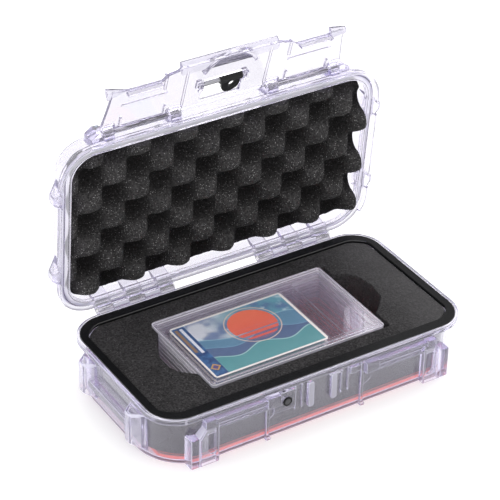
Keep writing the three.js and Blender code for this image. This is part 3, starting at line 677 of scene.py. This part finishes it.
# ---------------------------------------------------------------- base shell
def base_shell():
    p = [
        levels([
            (0.0, rr(119.0, 63.0, 34.2)), (0.08, rr(119.35, 63.35, 34.55)), (0.3, rr(119.7, 63.7, 34.9)),
            (0.7, rr(120.0, 64.0, 35.2)), (1.3, rr(120.25, 64.25, 35.45)), (2.2, rr(120.42, 64.42, 35.6)),
            (37.0, rr(120.8, 64.8, 36.0)),
        ]),
        prism(rr(122.2, 66.2, 24.2), 36.2, RIM, "z", 0.55, 0),
    ]
    for s in (1, -1):
        for y in (-31.5, 31.5):
            p.append(taper(rect(y - 10, y + 10, 5.0, 34.4), s * 119.6, rect(y - 3, y + 3, 10, 33.5), s * 128.3))
            p.append(sbox(s, 114.0, 119.8, y - 9.9, y + 9.9, 5.1, 34.3, 0.8))
        p.append(sbox(s, 120.0, 125.6, -30, 30, 16.4, 22.2, 0.7))
        p.append(prism(flip(s, [(80.8, 0.8), (95.6, 0.8), (95.6, 24.0), (90.0, 31.8), (80.8, 31.8)]), -69.2, -62.0, "y", 0.5, 0.9))
        p.append(sbox(s, 95.4, 101.8, -69.0, -58.8, 0.8, 24.0, 0.7))
        p.append(sprism_x(s, [(-64.2, 27.0), (-64.2, 34.2), (-69.0, 34.2), (-69.0, 32.5), (-66.6, 32.2), (-66.6, 29.0), (-69.0, 28.7), (-69.0, 27.0)], 43.5, 84.0, 0.3, 0.4))
        p.append(sbox(s, 83.0, 91.0, -69.2, -64.0, 25.5, 35.5, 0.45))
        p.append(sbox(s, 33.5, 44.0, -69.2, -64.0, 26.9, 35.5, 0.45))
        p.append(prism(rr(2.25, 10.0, 2.0, 6, s * 9.0, 25.4), -67.4, -64.0, "y", 0.6, 0))
        p.append(sbox(s, 14.9, 16.1, -66.1, -64.0, 17.0, 35.9, 0.3))
        p.append(sbox(s, 20.4, 21.6, -66.1, -64.0, 17.0, 35.9, 0.3))
    for x, w in ((-43.4, 7.4), (31.0, 8.3)):
        p.append(box(x, x + 2.4, -66.3, -62.4, 0.8, 35.4, 0.4))
        p.append(prism([(x + 2.0, 27.5), (x + 2.0, 16.2), (x + w - 2.6, 18.2), (x + w - 0.8, 19.4), (x + w, 21.6), (x + w, 27.5)], -66.1, -64.0, "y", 0.4, 0.8))
        p.append(box(x - 0.3, x + 3.2, -67.4, -62.4, 0.3, 2.4, 0.5))
    p.append(box(-38.5, -21.6, -67.5, -64.0, 20.5, 35.5, 0.4))
    p.append(box(21.6, 30.5, -67.5, -64.0, 30.5, 35.5, 0.35))
    p.append(box(5.0, 15.5, -67.6, -64.0, 35.0, 36.4, 0.3))
    for s in (1, -1):
        for x0, x1 in BASE_KNUCKLES:
            p.append(sprism_x(s, [(64.2, 22.0), (66.4, 22.0), (70.0, 30.5), (74.1, 38.6), (74.1, 39.6), (71.0, 40.0), (66.95, 40.0), (66.3, 36.4), (64.2, 36.4)], x0, x1, 0.35))
            p.append(cyl(3.6, s * x0, s * x1, HY_, HZ_, "x", 0.3))
        p.append(sbox(s, 30.2, 32.8, 61.2, 67.0, 0.8, 35.9, 0.4))
        p.append(sbox(s, 96.4, 99.0, 61.2, 67.0, 0.8, 35.9, 0.4))
    c = [
        levels([
            (1.8, rr(116.9, 60.9, 32.1)), (1.95, rr(117.4, 61.4, 32.6)), (2.4, rr(117.85, 61.85, 33.05)),
            (3.2, rr(118.15, 62.15, 33.35)), (4.2, rr(118.2, 62.2, 33.4)), (36.0, rr(118.2, 62.2, 33.4)),
        ]),
        prism(gasket_outline(-0.1), 35.0, 42.0, "z", 0, 0),
        flared(rr(120.1, 64.75, 22.3), 38.2, RIM, 0.4),
        cyl(2.75, -70, -61, -28.6, RIM - 12.5, "y", 0),
    ]
    for s in (1, -1):
        c.append(prism(flip(s, [(82.8, -1.0), (93.8, -1.0), (93.8, 21.5), (89.6, 28.0), (82.8, 28.0)]), -67.5, -65.3, "y", 0, 0.6))
        c.append(prism(flip(s, [(82.8, 25.2), (82.8, 9.2), (83.6, 8.2), (86.0, 8.2), (87.8, 9.2), (89.0, 11.4), (89.4, 14.0), (89.4, 25.2)]), -70.0, -65.3, "y", 0, 0.7))
        for y in (-31.5, 31.5):
            c.append(taper(rect(y - 6.7, y + 6.7, -1.0, 32.4), s * 121.2, rect(y - 2.4, y + 2.4, -1.0, 31.7), s * 126.4, 0.6, 1.4))
        for x0, x1 in BASE_KNUCKLES:
            c.append(cyl(1.9, s * (x0 - 1), s * (x1 + 1), HY_, HZ_, "x", 0))
            c.append(sbox(s, x0 - 1, x1 + 1, HY_ - 1.3, HY_ + 1.3, HZ_, HZ_ + 6, 0))
    return finish_mesh(carve(p, c), "base_shell_clear")


# ----------------------------------------------------------------- lid shell
def lid_shell():
    def ring(z, d):
        return (LZ + z, rr(124.0 - d, 68.0 - d, 26.0 - d))

    skirt = carve([prism(rr(124.0, 68.0, 26.0), LZ - 2.8, LZ + 0.9, "z", 0.4, 0, (True, False))], [
        prism(rr(122.5, 66.5, 24.5), LZ - 4, LZ + 2, "z", 0, 0),
        box(-130, 130, 56, 80, LZ - 4, LZ + 0.3, 0),
    ])
    skirt = link(bpy.data.objects.new("part", skirt))
    p = [
        levels([ring(0.3, 0.4), ring(0.4, 0.12), ring(0.7, 0.0), ring(2.5, 0.0), ring(2.8, 0.1), ring(3.05, 0.3), ring(3.2, 0.65)]),
        skirt,
        levels([
            (LZ + 2.0, rr(121.6, 65.6, 23.6)), (LZ + 16.0, rr(119.6, 63.6, 21.6)), (LZ + 17.2, rr(119.3, 63.3, 21.3)),
            (LZ + 18.2, rr(118.8, 62.8, 20.8)), (LZ + 19.1, rr(118.05, 62.05, 20.05)), (LZ + 19.8, rr(117.1, 61.1, 19.1)),
            (LZ + 20.3, rr(115.9, 59.9, 17.9)), (LZ + 20.5, rr(114.6, 58.6, 16.6)),
        ]),
    ]
    for s in (1, -1):
        for y in (-31.5, 31.5):
            p.append(taper(rect(y - 10, y + 10, LZ - 2.4, LZ + 15.0), s * 119.0, rect(y - 3, y + 3, LZ + 0.3, LZ + 7.5), s * 128.3))
        for x0, x1 in ((33.5, 41.5), (83.5, 91.0)):
            p.append(sprism_x(s, [(-63.0, LZ + 1.0), (-68.0, LZ + 1.0), (-71.0, LZ + 2.2), (-71.0, LZ + 11.9), (-66.5, LZ + 13.5), (-63.0, LZ + 15.5)], x0, x1, 0.4))
            p.append(cyl(5.0, s * x0, s * x1, LY_, LZ_, "x", 0.4, 48))
        p.append(prism(flip(s, [(89.8, -61.5), (89.8, -73.6), (95.0, -74.0), (100.0, -70.2), (100.0, -61.5)]), LZ + 3.0, LZ + 13.5, "z", 0.5, 0.8))
        for x0, x1 in LID_KNUCKLES:
            p.append(sprism_x(s, [(63.0, LZ + 0.6), (67.6, LZ + 0.6), (HY_, HZ_ + 3.3), (72.4, HZ_ + 3.0), (69.2, LZ + 8.5), (65.8, LZ + 15.0), (63.0, LZ + 15.8)], x0, x1, 0.35))
            p.append(cyl(3.5, s * x0, s * x1, HY_, HZ_, "x", 0.3))
    c = [
        prism(rr(122.5, 66.5, 24.5), LZ - 4, LZ + 0.3, "z", 0, 0),
        flared(rr(115.1, 60.3, 18.0), LZ + 4.0, LZ + 0.3, 0.4, past=4.0),
        levels([
            (LZ + 3.0, rr(118.8, 62.8, 20.8)), (LZ + 15.5, rr(117.2, 61.2, 19.2)), (LZ + 16.8, rr(116.8, 60.8, 18.8)),
            (LZ + 17.8, rr(116.0, 60.0, 18.0)), (LZ + 18.4, rr(114.8, 58.8, 16.8)),
        ]),
        flared(rr(104.0, 48.0, 10.0, 6), LZ + 20.0, LZ + 20.5, 0.3, past=2.0),
    ]
    for outer, inner in ((117.2, 116.5), (120.6, 119.7)):
        c.append(carve([prism(rr(outer, outer - 55.6, outer - 97.6), LZ - 1.0, LZ + 0.75, "z", 0, 0)], [
            prism(rr(inner, inner - 55.6, inner - 97.6), LZ - 2.0, LZ + 2.0, "z", 0, 0)]))
        c[-1] = link(bpy.data.objects.new("groove", c[-1]))
    for s in (1, -1):
        for y in (-31.5, 31.5):
            c.append(taper(rect(y - 5.7, y + 5.7, LZ - 4, LZ + 10.5), s * 122.0, rect(y - 2.4, y + 2.4, LZ - 4, LZ + 6.9), s * 126.4, 0.6, 1.4))
        for x0, x1 in BASE_KNUCKLES:
            c.append(sbox(s, x0 - 0.3, x1 + 0.3, 66.2, 80, LZ - 4, LZ + 4.2, 0))
        for x0, x1 in LID_KNUCKLES:
            c.append(cyl(1.9, s * (x0 - 1), s * (x1 + 1), HY_, HZ_, "x", 0))
        for x0, x1 in ((33.5, 41.5), (83.5, 91.0)):
            c.append(cyl(1.6, s * (x0 - 1), s * (x1 + 1), LY_, LZ_, "x", 0))
    return finish_mesh(carve(p, c), "lid_shell_clear", LID_M)


# --------------------------------------------------------------------- latch
LOCK_S = 20.0


def latch():
    """The latch, drawn about its pin: x, y outwards from the pin, z down the plate."""
    t0, t1 = -1.2, 1.2
    half = [
        (0, -2.5), (32.5, -2.5), (32.5, -6.8), (42.5, -6.8), (42.5, -0.5), (82.5, -0.5), (82.5, -6.8), (92.2, -6.8),
        (91.0, -13.0), (88.6, -29.0), (88.0, -35.6), (77.6, -35.4), (76.0, -34.6), (51.2, -34.6), (46.6, -38.6), (40.5, -39.6), (38.5, -41.0),
    ]
    outline = [half[0], *half[1:], *[(-x, z) for x, z in reversed(half[1:])]]
    p = [prism(outline, t0, t1, "y", 0.4, 0.7)]
    for s in (1, -1):
        p.append(cyl(3.0, s * 42.5, s * 82.5, 0, 0, "x", 0.4))
        p.append(sprism_x(s, [(t1 - 0.8, -24.3), (t1 + 0.5, -23.5), (t1 + 0.5, -22.0), (t1 - 0.8, -20.5)], 46.0, 80.0, 0.3))
        hook = [(0.4, -28.6), (-1.2, -29.4), (-4.6, -33.6), (-5.2, -36.0), (-4.0, -36.4), (-1.0, -35.4), (0.4, -34.6)]
        slim = [(0.2 + 0.25 * u, -34.0 + 0.25 * (v + 34.0)) for u, v in hook]
        if s < 0:
            p.append(taper(slim, -75.5, hook, -90.9, 0.5, 0.8))
        else:
            p.append(taper(hook, 79.5, [(0.1 + 0.62 * u, -34.0 + 0.62 * (v + 34.0)) for u, v in hook], 91.2, 0.4, 0.8))
        p.append(sprism_x(s, [(-0.6, -34.6), (-0.6, -32.2), (1.2, -32.4), (5.0, -33.0), (5.0, -34.4), (1.2, -34.6)], 52.4, 78.0, 0.3))
        p.append(sbox(s, 46.6, 48.2, -3.2, 1.0, -37.0, -24.0, 0.4))
        p.append(sbox(s, 31.0, 32.5, -2.6, 0.4, -39.0, -4.0, 0.35))
        p.append(sbox(s, 46.0, 47.5, 0.4, 2.6, -12.4, -5.0, 0.3))
        p.append(sbox(s, 78.5, 80.0, 0.4, 2.6, -12.4, -5.0, 0.3))
    p.append(prism([(t0 + 0.6, -33.0), (-3.4, -37.6), (-5.6, -41.6), (-3.6, -42.4), (t1 - 0.4, -40.2), (t1, -36.0)], -37.0, 37.0, "x", 0.5, 0.6))
    a = [math.radians(208 + i * 124 / 28) for i in range(29)]
    arch = [(1.3 + 23.8 * math.cos(t), -18.4 + 23.8 * math.sin(t)) for t in a] + [(1.3 + 21.4 * math.cos(t), -18.4 + 21.4 * math.sin(t)) for t in reversed(a)]
    p.append(prism(arch, t0 - 3.0, 0.2, "y", 0.5, 0.5))
    for x0, x1 in ((-23.0, -19.2), (11.4, 15.2)):
        p.append(box(x0, x1, -3.4, 3.4, -LOCK_S - 3.4, -LOCK_S + 3.4, 0.5))
    window = fillet(ccw(rect(-19.2, 11.4, -23.9, -5.5)), 1.0, 4)
    c = [prism(window, t0 - 6, t1 + 6, "y", 0, 0), cyl(2.1, -21.8, 13.9, 0, -LOCK_S, "x", 0)]
    for s in (1, -1):
        c.append(cyl(1.6, s * 41.0, s * 84.0, 0, 0, "x", 0))
    return finish_mesh(carve(p, c), "latch_clear", LATCH_M)


def lock_tab():
    face = [(-5.4, -20.0), (10.8, -20.0), (10.7, -16.5), (10.0, -11.8), (8.6, -9.2), (4.2, -7.4), (0.6, -7.5), (-1.8, -8.9), (-3.0, -11.5), (-3.6, -15.4), (-5.2, -17.2)]
    p = [prism(face, -1.3, 1.3, "y", 0.5, 1.2), cyl(3.2, -6.0, 10.8, 0, -LOCK_S, "x", 0.6)]
    hole = circle(2.2, 4.2, -13.9, 32)
    c = [
        cyl(2.1, -8, 13, 0, -LOCK_S, "x", 0),
        flared(hole, 0, 1.3, 0.8, "y"), flared(hole, 0.5, -1.3, 0.8, "y"),
    ]
    return finish_mesh(carve(p, c), "lock_tab_black", LATCH_M)


place(base_shell(), "base", M["case"], "case_clear", "base_shell")
place(lid_shell(), "lid", M["lid"], "case_clear", "lid_shell")
place(latch(), "latch", M["latch"], "case_clear", "latch")
place(lock_tab(), "lock_tab", M["black"], "black_plastic", "lock_tab")


# --------------------------------------------------------------------- slabs
SLAB_X0, SLAB_Y0, SLAB_Z0 = -70.55, -43.25, 7.3
SLAB_L, SLAB_W, SLAB_H, SLAB_PITCH = 136.5, 82.5, 6.35, 6.65
CARD_CX, CARD_CY = -18.3, -3.3


def slab_halves():
    cx, cy = SLAB_X0 + SLAB_L / 2, SLAB_Y0 + SLAB_W / 2
    outline = rr(SLAB_L / 2, SLAB_W / 2, 3.0, 6, cx, cy)
    window = fillet(ccw(rect(-67.5, 62.5, -37.0, 35.5)), 1.6, 5)
    well = fillet(ccw(rect(CARD_CX - 44.95, CARD_CX + 44.95, CARD_CY - 32.25, CARD_CY + 32.25)), 2.4, 4)
    label = rr(11.2, 34.0, 2.0, 5, 49.2, -2.5)
    back = carve([prism(outline, 0, 3.0, "z", 0.4, 0)], [
        flared(window, 0.6, 0.0, 0.25), prism(well, 2.5, 4, "z", 0, 0), prism(label, 2.0, 4, "z", 0, 0),
    ])
    front = carve([prism(outline, 3.3, SLAB_H, "z", 0.4, 0)], [
        flared(window, SLAB_H - 0.6, SLAB_H, 0.3), prism(well, 2, 3.85, "z", 0, 0), prism(label, 2, 4.3, "z", 0, 0),
    ])
    return back, front


BACK, FRONT = slab_halves()
for k in range(1, 6):
    body = f"slab_{k}"
    z = SLAB_Z0 + (k - 1) * SLAB_PITCH
    lift = Matrix.Translation((0, 0, z))
    place(finish_mesh(BACK.copy(), f"slab_{k}_back_clear", lift), body, M["slab"], "slab_clear", f"slab_{k}_back")
    place(finish_mesh(FRONT.copy(), f"slab_{k}_front_clear", lift), body, M["slab"], "slab_clear", f"slab_{k}_front")
    card = prism(rr(44.45, 31.75, 3.0, 6, CARD_CX, CARD_CY), 2.92, 3.42, "z", 0.06, 0)
    place(finish_mesh(carve([card]), f"card_{k}_printed", lift), body, M["card"], "card_paper", f"card_{k}")


# ------------------------------------------------------------- soft linings
POCKET = [
    (-71.0, -44.2), (69.5, -44.2), (69.5, -26.4), (71.4, -25.2), (76.8, -20.0), (83.5, -12.7), (86.0, 3.0),
    (83.8, 16.0), (78.0, 23.8), (72.5, 25.6), (69.5, 27.0), (69.5, 40.0), (-71.0, 40.0),
    (-71.0, 27.2), (-74.0, 23.6), (-78.2, 15.7), (-83.5, 3.0), (-83.4, -10.0), (-80.0, -17.2), (-74.6, -22.4), (-71.0, -25.0),
]


def foam_insert():
    lower = prism(rr(117.9, 61.9, 33.1), 7.3, 35.7, "z", 0.3, 0)
    neck = prism(gasket_outline(0.35), 35.2, 39.2, "z", 0.8, 0, (False, True))
    pocket = fillet(ccw(POCKET), 2.4, 4)
    return finish_mesh(carve([lower, neck], [flared(pocket, 6.0, 39.2, 0.7)]), "foam_insert_cut")


def bottom_pad():
    ob = levels([
        (2.1, rr(116.6, 60.6, 31.8)), (2.3, rr(117.1, 61.1, 32.3)), (2.8, rr(117.6, 61.6, 32.8)), (3.6, rr(117.9, 61.9, 33.1)),
        (6.4, rr(117.9, 61.9, 33.1)), (6.8, rr(117.75, 61.75, 32.95)), (7.0, rr(117.4, 61.4, 32.6)),
    ])
    return finish_mesh(carve([ob], [box(-125, -112.6, -80, 80, 0, 9, 0), box(112.6, 125, -80, 80, 0, 9, 0)]), "bottom_pad_red")


def gasket():
    ring = prism(rr(119.8, 64.45, 22.0), 38.5, RIM, "z", 0.6, 0, (False, True))
    return finish_mesh(carve([ring], [flared(gasket_outline(0), 37.5, RIM, 0.6)]), "gasket_ring")


place(foam_insert(), "base", M["foam_base"], "foam_dark", "foam_insert")
place(bottom_pad(), "base", M["pad"], "pad_red", "bottom_pad")
place(gasket(), "base", M["gasket"], "gasket_rubber", "gasket")


def egg_crate():
    """Convoluted foam sheet: soft square peaks in a checkerboard on a backing,
    trimmed to the lid, drawn shut and then turned open."""
    hx, hy, r = 114.8, 59.6, 17.0
    pitch, x0, y0 = 35.65, -100.2, -22.2
    top, low, high = 18.2, -4.0, 11.0
    nu, nv = (260, 136)
    mid, amp = (low + high) / 2, (high - low) / 2

    def height(x, y):
        f = math.cos(2 * math.pi * (x - x0) / pitch) * math.cos(2 * math.pi * (y - y0) / pitch)
        f = math.copysign(abs(f) ** 0.62, f)
        z = mid - amp * f
        t = min(max((y - 51.5) / 8.0, 0.0), 1.0)
        if y < 0:
            t = min(max((math.sqrt(max(abs(x) - 98.0, 0.0) * max(-y - 43.0, 0.0)) - 4.5) / 5.0, 0.0), 1.0)
        z += (high - 1.0 - z) * t * t * (3 - 2 * t)
        z += 0.18 * math.sin(x * 0.83 + 1.3) * math.sin(y * 0.71) + 0.12 * math.sin(x * 2.3) * math.cos(y * 1.9 + 0.4)
        return z

    bm = bmesh.new()
    rows = []
    for j in range(nv + 1):
        y = -hy + 2 * hy * j / nv
        over = abs(y) - (hy - r)
        w = hx - r + math.sqrt(max(r * r - over * over, 0)) if over > 0 else hx
        rows.append([(-w + 2 * w * i / nu, y) for i in range(nu + 1)])
    front = [[bm.verts.new((x, y, RIM + height(x, y))) for x, y in row] for row in rows]
    for j in range(nv):
        for i in range(nu):
            bm.faces.new((front[j][i], front[j + 1][i], front[j + 1][i + 1], front[j][i + 1]))
    # The rim of the sheet, once round, then down its side to the flat back.
    rim = [front[0][i] for i in range(nu + 1)] + [front[j][nu] for j in range(1, nv + 1)]
    rim += [front[nv][i] for i in range(nu - 1, -1, -1)] + [front[j][0] for j in range(nv - 1, 0, -1)]
    loops = [rim]
    for s in (0.08, 0.35, 0.65, 0.95, 1.0):
        ring = []
        for v0 in rim:
            x, y, z = v0.co
            inset = 8.0 * max(s - 0.08, 0.0)
            ix = min(1.0, max(0.0, (abs(x) - (hx - r)) / r)) if abs(y) < hy - r else None
            if ix is None:
                d = Vector((x, y)) - Vector((math.copysign(min(abs(x), hx - r), x), math.copysign(hy - r, y)))
            else:
                d = Vector((math.copysign(1.0, x), 0.0))
            d = d.normalized() * inset
            ring.append(bm.verts.new((x - d.x, y - d.y, z + (RIM + top - z) * s)))
        loops.append(ring)
    for a, b in zip(loops, loops[1:]):
        n = len(a)
        for i in range(n):
            bm.faces.new((a[i], a[(i + 1) % n], b[(i + 1) % n], b[i]))
    flat_back = bm.faces.new(loops[-1])
    bmesh.ops.recalc_face_normals(bm, faces=bm.faces)
    for v in bm.verts:
        v.co = open_lid(v.co * MM)
    limit = math.radians(60.0)
    for f in bm.faces:
        f.smooth = f is not flat_back
    for e in bm.edges:
        e.smooth = len(e.link_faces) == 2 and e.calc_face_angle(0.0) < limit
    me = bpy.data.meshes.new("lid_foam_egg_crate")
    bm.to_mesh(me)
    bm.free()
    return link(bpy.data.objects.new("lid_foam_egg_crate", me))


crate = place(egg_crate(), "lid", M["foam_lid"], "foam_dark", "lid_foam")
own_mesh(crate)

# ------------------------------------------------------------ small hardware
def wire(name, r, x0, x1, cu, cv, matrix=None, e=0.3):
    return finish_mesh(carve([cyl(r, x0, x1, cu, cv, "x", e, 28)]), name, matrix)


for side, s in (("left", -1), ("right", 1)):
    place(wire(f"hinge_pin_{side}_wire", 1.6, s * 34.7, s * 94.3, HY_, HZ_), "base", M["dim_steel"], "pin_steel", f"hinge_pin_{side}")
    place(wire(f"latch_pin_{side}_wire", 1.3, s * 34.0, s * 90.6, LY_, LZ_, LID_M), "lid", M["dim_steel"], "pin_steel", f"latch_pin_{side}")
place(wire("lock_pin_rod", 1.8, -21.5, 13.6, 0, -LOCK_S, LATCH_M, 0.4), "latch", M["rod"], "pin_dark", "lock_pin")


def purge_valve():
    vx, vz = -28.6, RIM - 12.5
    ring = cyl(3.4, -69.0, -67.8, vx, vz, "y", 0.35, 48)
    stem = cyl(2.4, -68.0, -62.4, vx, vz, "y", 0.1, 32)
    cup = flared(circle(2.5, vx, vz, 40), -68.3, -69.0, 0.25, "y")
    return finish_mesh(carve([ring, stem], [cup, cyl(1.0, -70, -62, vx, vz, "y", 0, 20)]), "purge_valve_ring")


def purge_membrane():
    return finish_mesh(carve([cyl(2.2, -68.945, -68.595, -28.6, RIM - 12.5, "y", 0.08, 40)]), "purge_membrane_disc")


place(purge_valve(), "base", M["black"], "black_plastic", "purge_valve")
place(purge_membrane(), "base", M["membrane"], "membrane_white", "purge_membrane")


# ------------------------------------------------------------ floor and light
def floor_and_light():
    k = Nodes("floor_white")
    g = k.noise(k.obj(), 3.0, 2.0, 0.5)
    c = k.mix(k.map(g, 0.3, 0.7, 0.0, 1.0), (0.93, 0.93, 0.93), (0.95, 0.95, 0.95))
    mat = k.finish(k.principled(Base_Color=c, Roughness=0.7, Specular_IOR_Level=0.2, Emission_Color=(1.0, 1.0, 1.0), Emission_Strength=0.16).outputs[0])
    bm = bmesh.new()
    bmesh.ops.create_grid(bm, x_segments=8, y_segments=8, size=6.0)
    me = bpy.data.meshes.new("floor")
    bm.to_mesh(me)
    bm.free()
    ob = link(bpy.data.objects.new("floor", me))
    ob.location.z = -0.0002
    me.materials.append(mat)

    world = bpy.data.worlds.new("studio")
    SCENE.world = world
    world.use_nodes = True
    nt = world.node_tree
    nt.nodes.clear()
    out = nt.nodes.new("ShaderNodeOutputWorld")
    bg = nt.nodes.new("ShaderNodeBackground")
    co = nt.nodes.new("ShaderNodeTexCoord")
    sep = nt.nodes.new("ShaderNodeSeparateXYZ")
    ramp = nt.nodes.new("ShaderNodeValToRGB")
    nt.links.new(co.outputs["Generated"], sep.inputs[0])
    nt.links.new(sep.outputs["Z"], ramp.inputs[0])
    e = ramp.color_ramp.elements
    e[0].position, e[0].color = 0.0, (0.86, 0.85, 0.90, 1)
    e[1].position, e[1].color = 0.70, (1.0, 1.0, 1.0, 1)
    nt.links.new(ramp.outputs[0], bg.inputs["Color"])
    bg.inputs["Strength"].default_value = 1.36
    nt.links.new(bg.outputs[0], out.inputs["Surface"])

    def area(name, at, to, size, power, spread=None):
        l = bpy.data.lights.new(name, "AREA")
        l.shape = "RECTANGLE"
        l.size, l.size_y = size
        l.energy = power
        ob = link(bpy.data.objects.new(name, l))
        ob.location = at
        ob.rotation_euler = (Vector(to) - Vector(at)).to_track_quat("-Z", "Y").to_euler()
        return ob

    area("back_right", (0.70, 0.95, 1.50), (0, 0, 0.06), (0.95, 0.70), 6.0)


def camera():
    """Long lens from the front left, above the open case."""
    az, el, roll = -0.5650, 0.5791, 0.01798
    f, tx, ty, d = 2122.78, 13.02, -48.21, 1439.83
    back = Vector((math.sin(az) * math.cos(el), -math.cos(az) * math.cos(el), math.sin(el)))
    right = (-back).cross(Vector((0, 0, 1))).normalized()
    up = right.cross(-back)
    r0 = right * math.cos(roll) + up * math.sin(roll)
    r1 = -right * math.sin(roll) + up * math.cos(roll)
    cam = bpy.data.cameras.new("camera")
    cam.sensor_width = 36.0
    cam.lens = f * 36.0 / 500.0
    cam.clip_start, cam.clip_end = 0.05, 30.0
    ob = link(bpy.data.objects.new("camera", cam))
    at = back * d - r0 * tx - r1 * ty
    m = Matrix((r0, r1, back)).transposed().to_4x4()
    m.translation = Vector((at.x, at.y, at.z + RIM)) * MM
    ob.matrix_world = m
    SCENE.camera = ob


floor_and_light()
camera()
SCENE.view_settings.view_transform = "Standard"
SCENE.cycles.max_bounces = 24
SCENE.cycles.transmission_bounces = 24
SCENE.cycles.glossy_bounces = 8
SCENE.cycles.diffuse_bounces = 4
SCENE.cycles.transparent_max_bounces = 40
SCENE.cycles.use_denoising = True
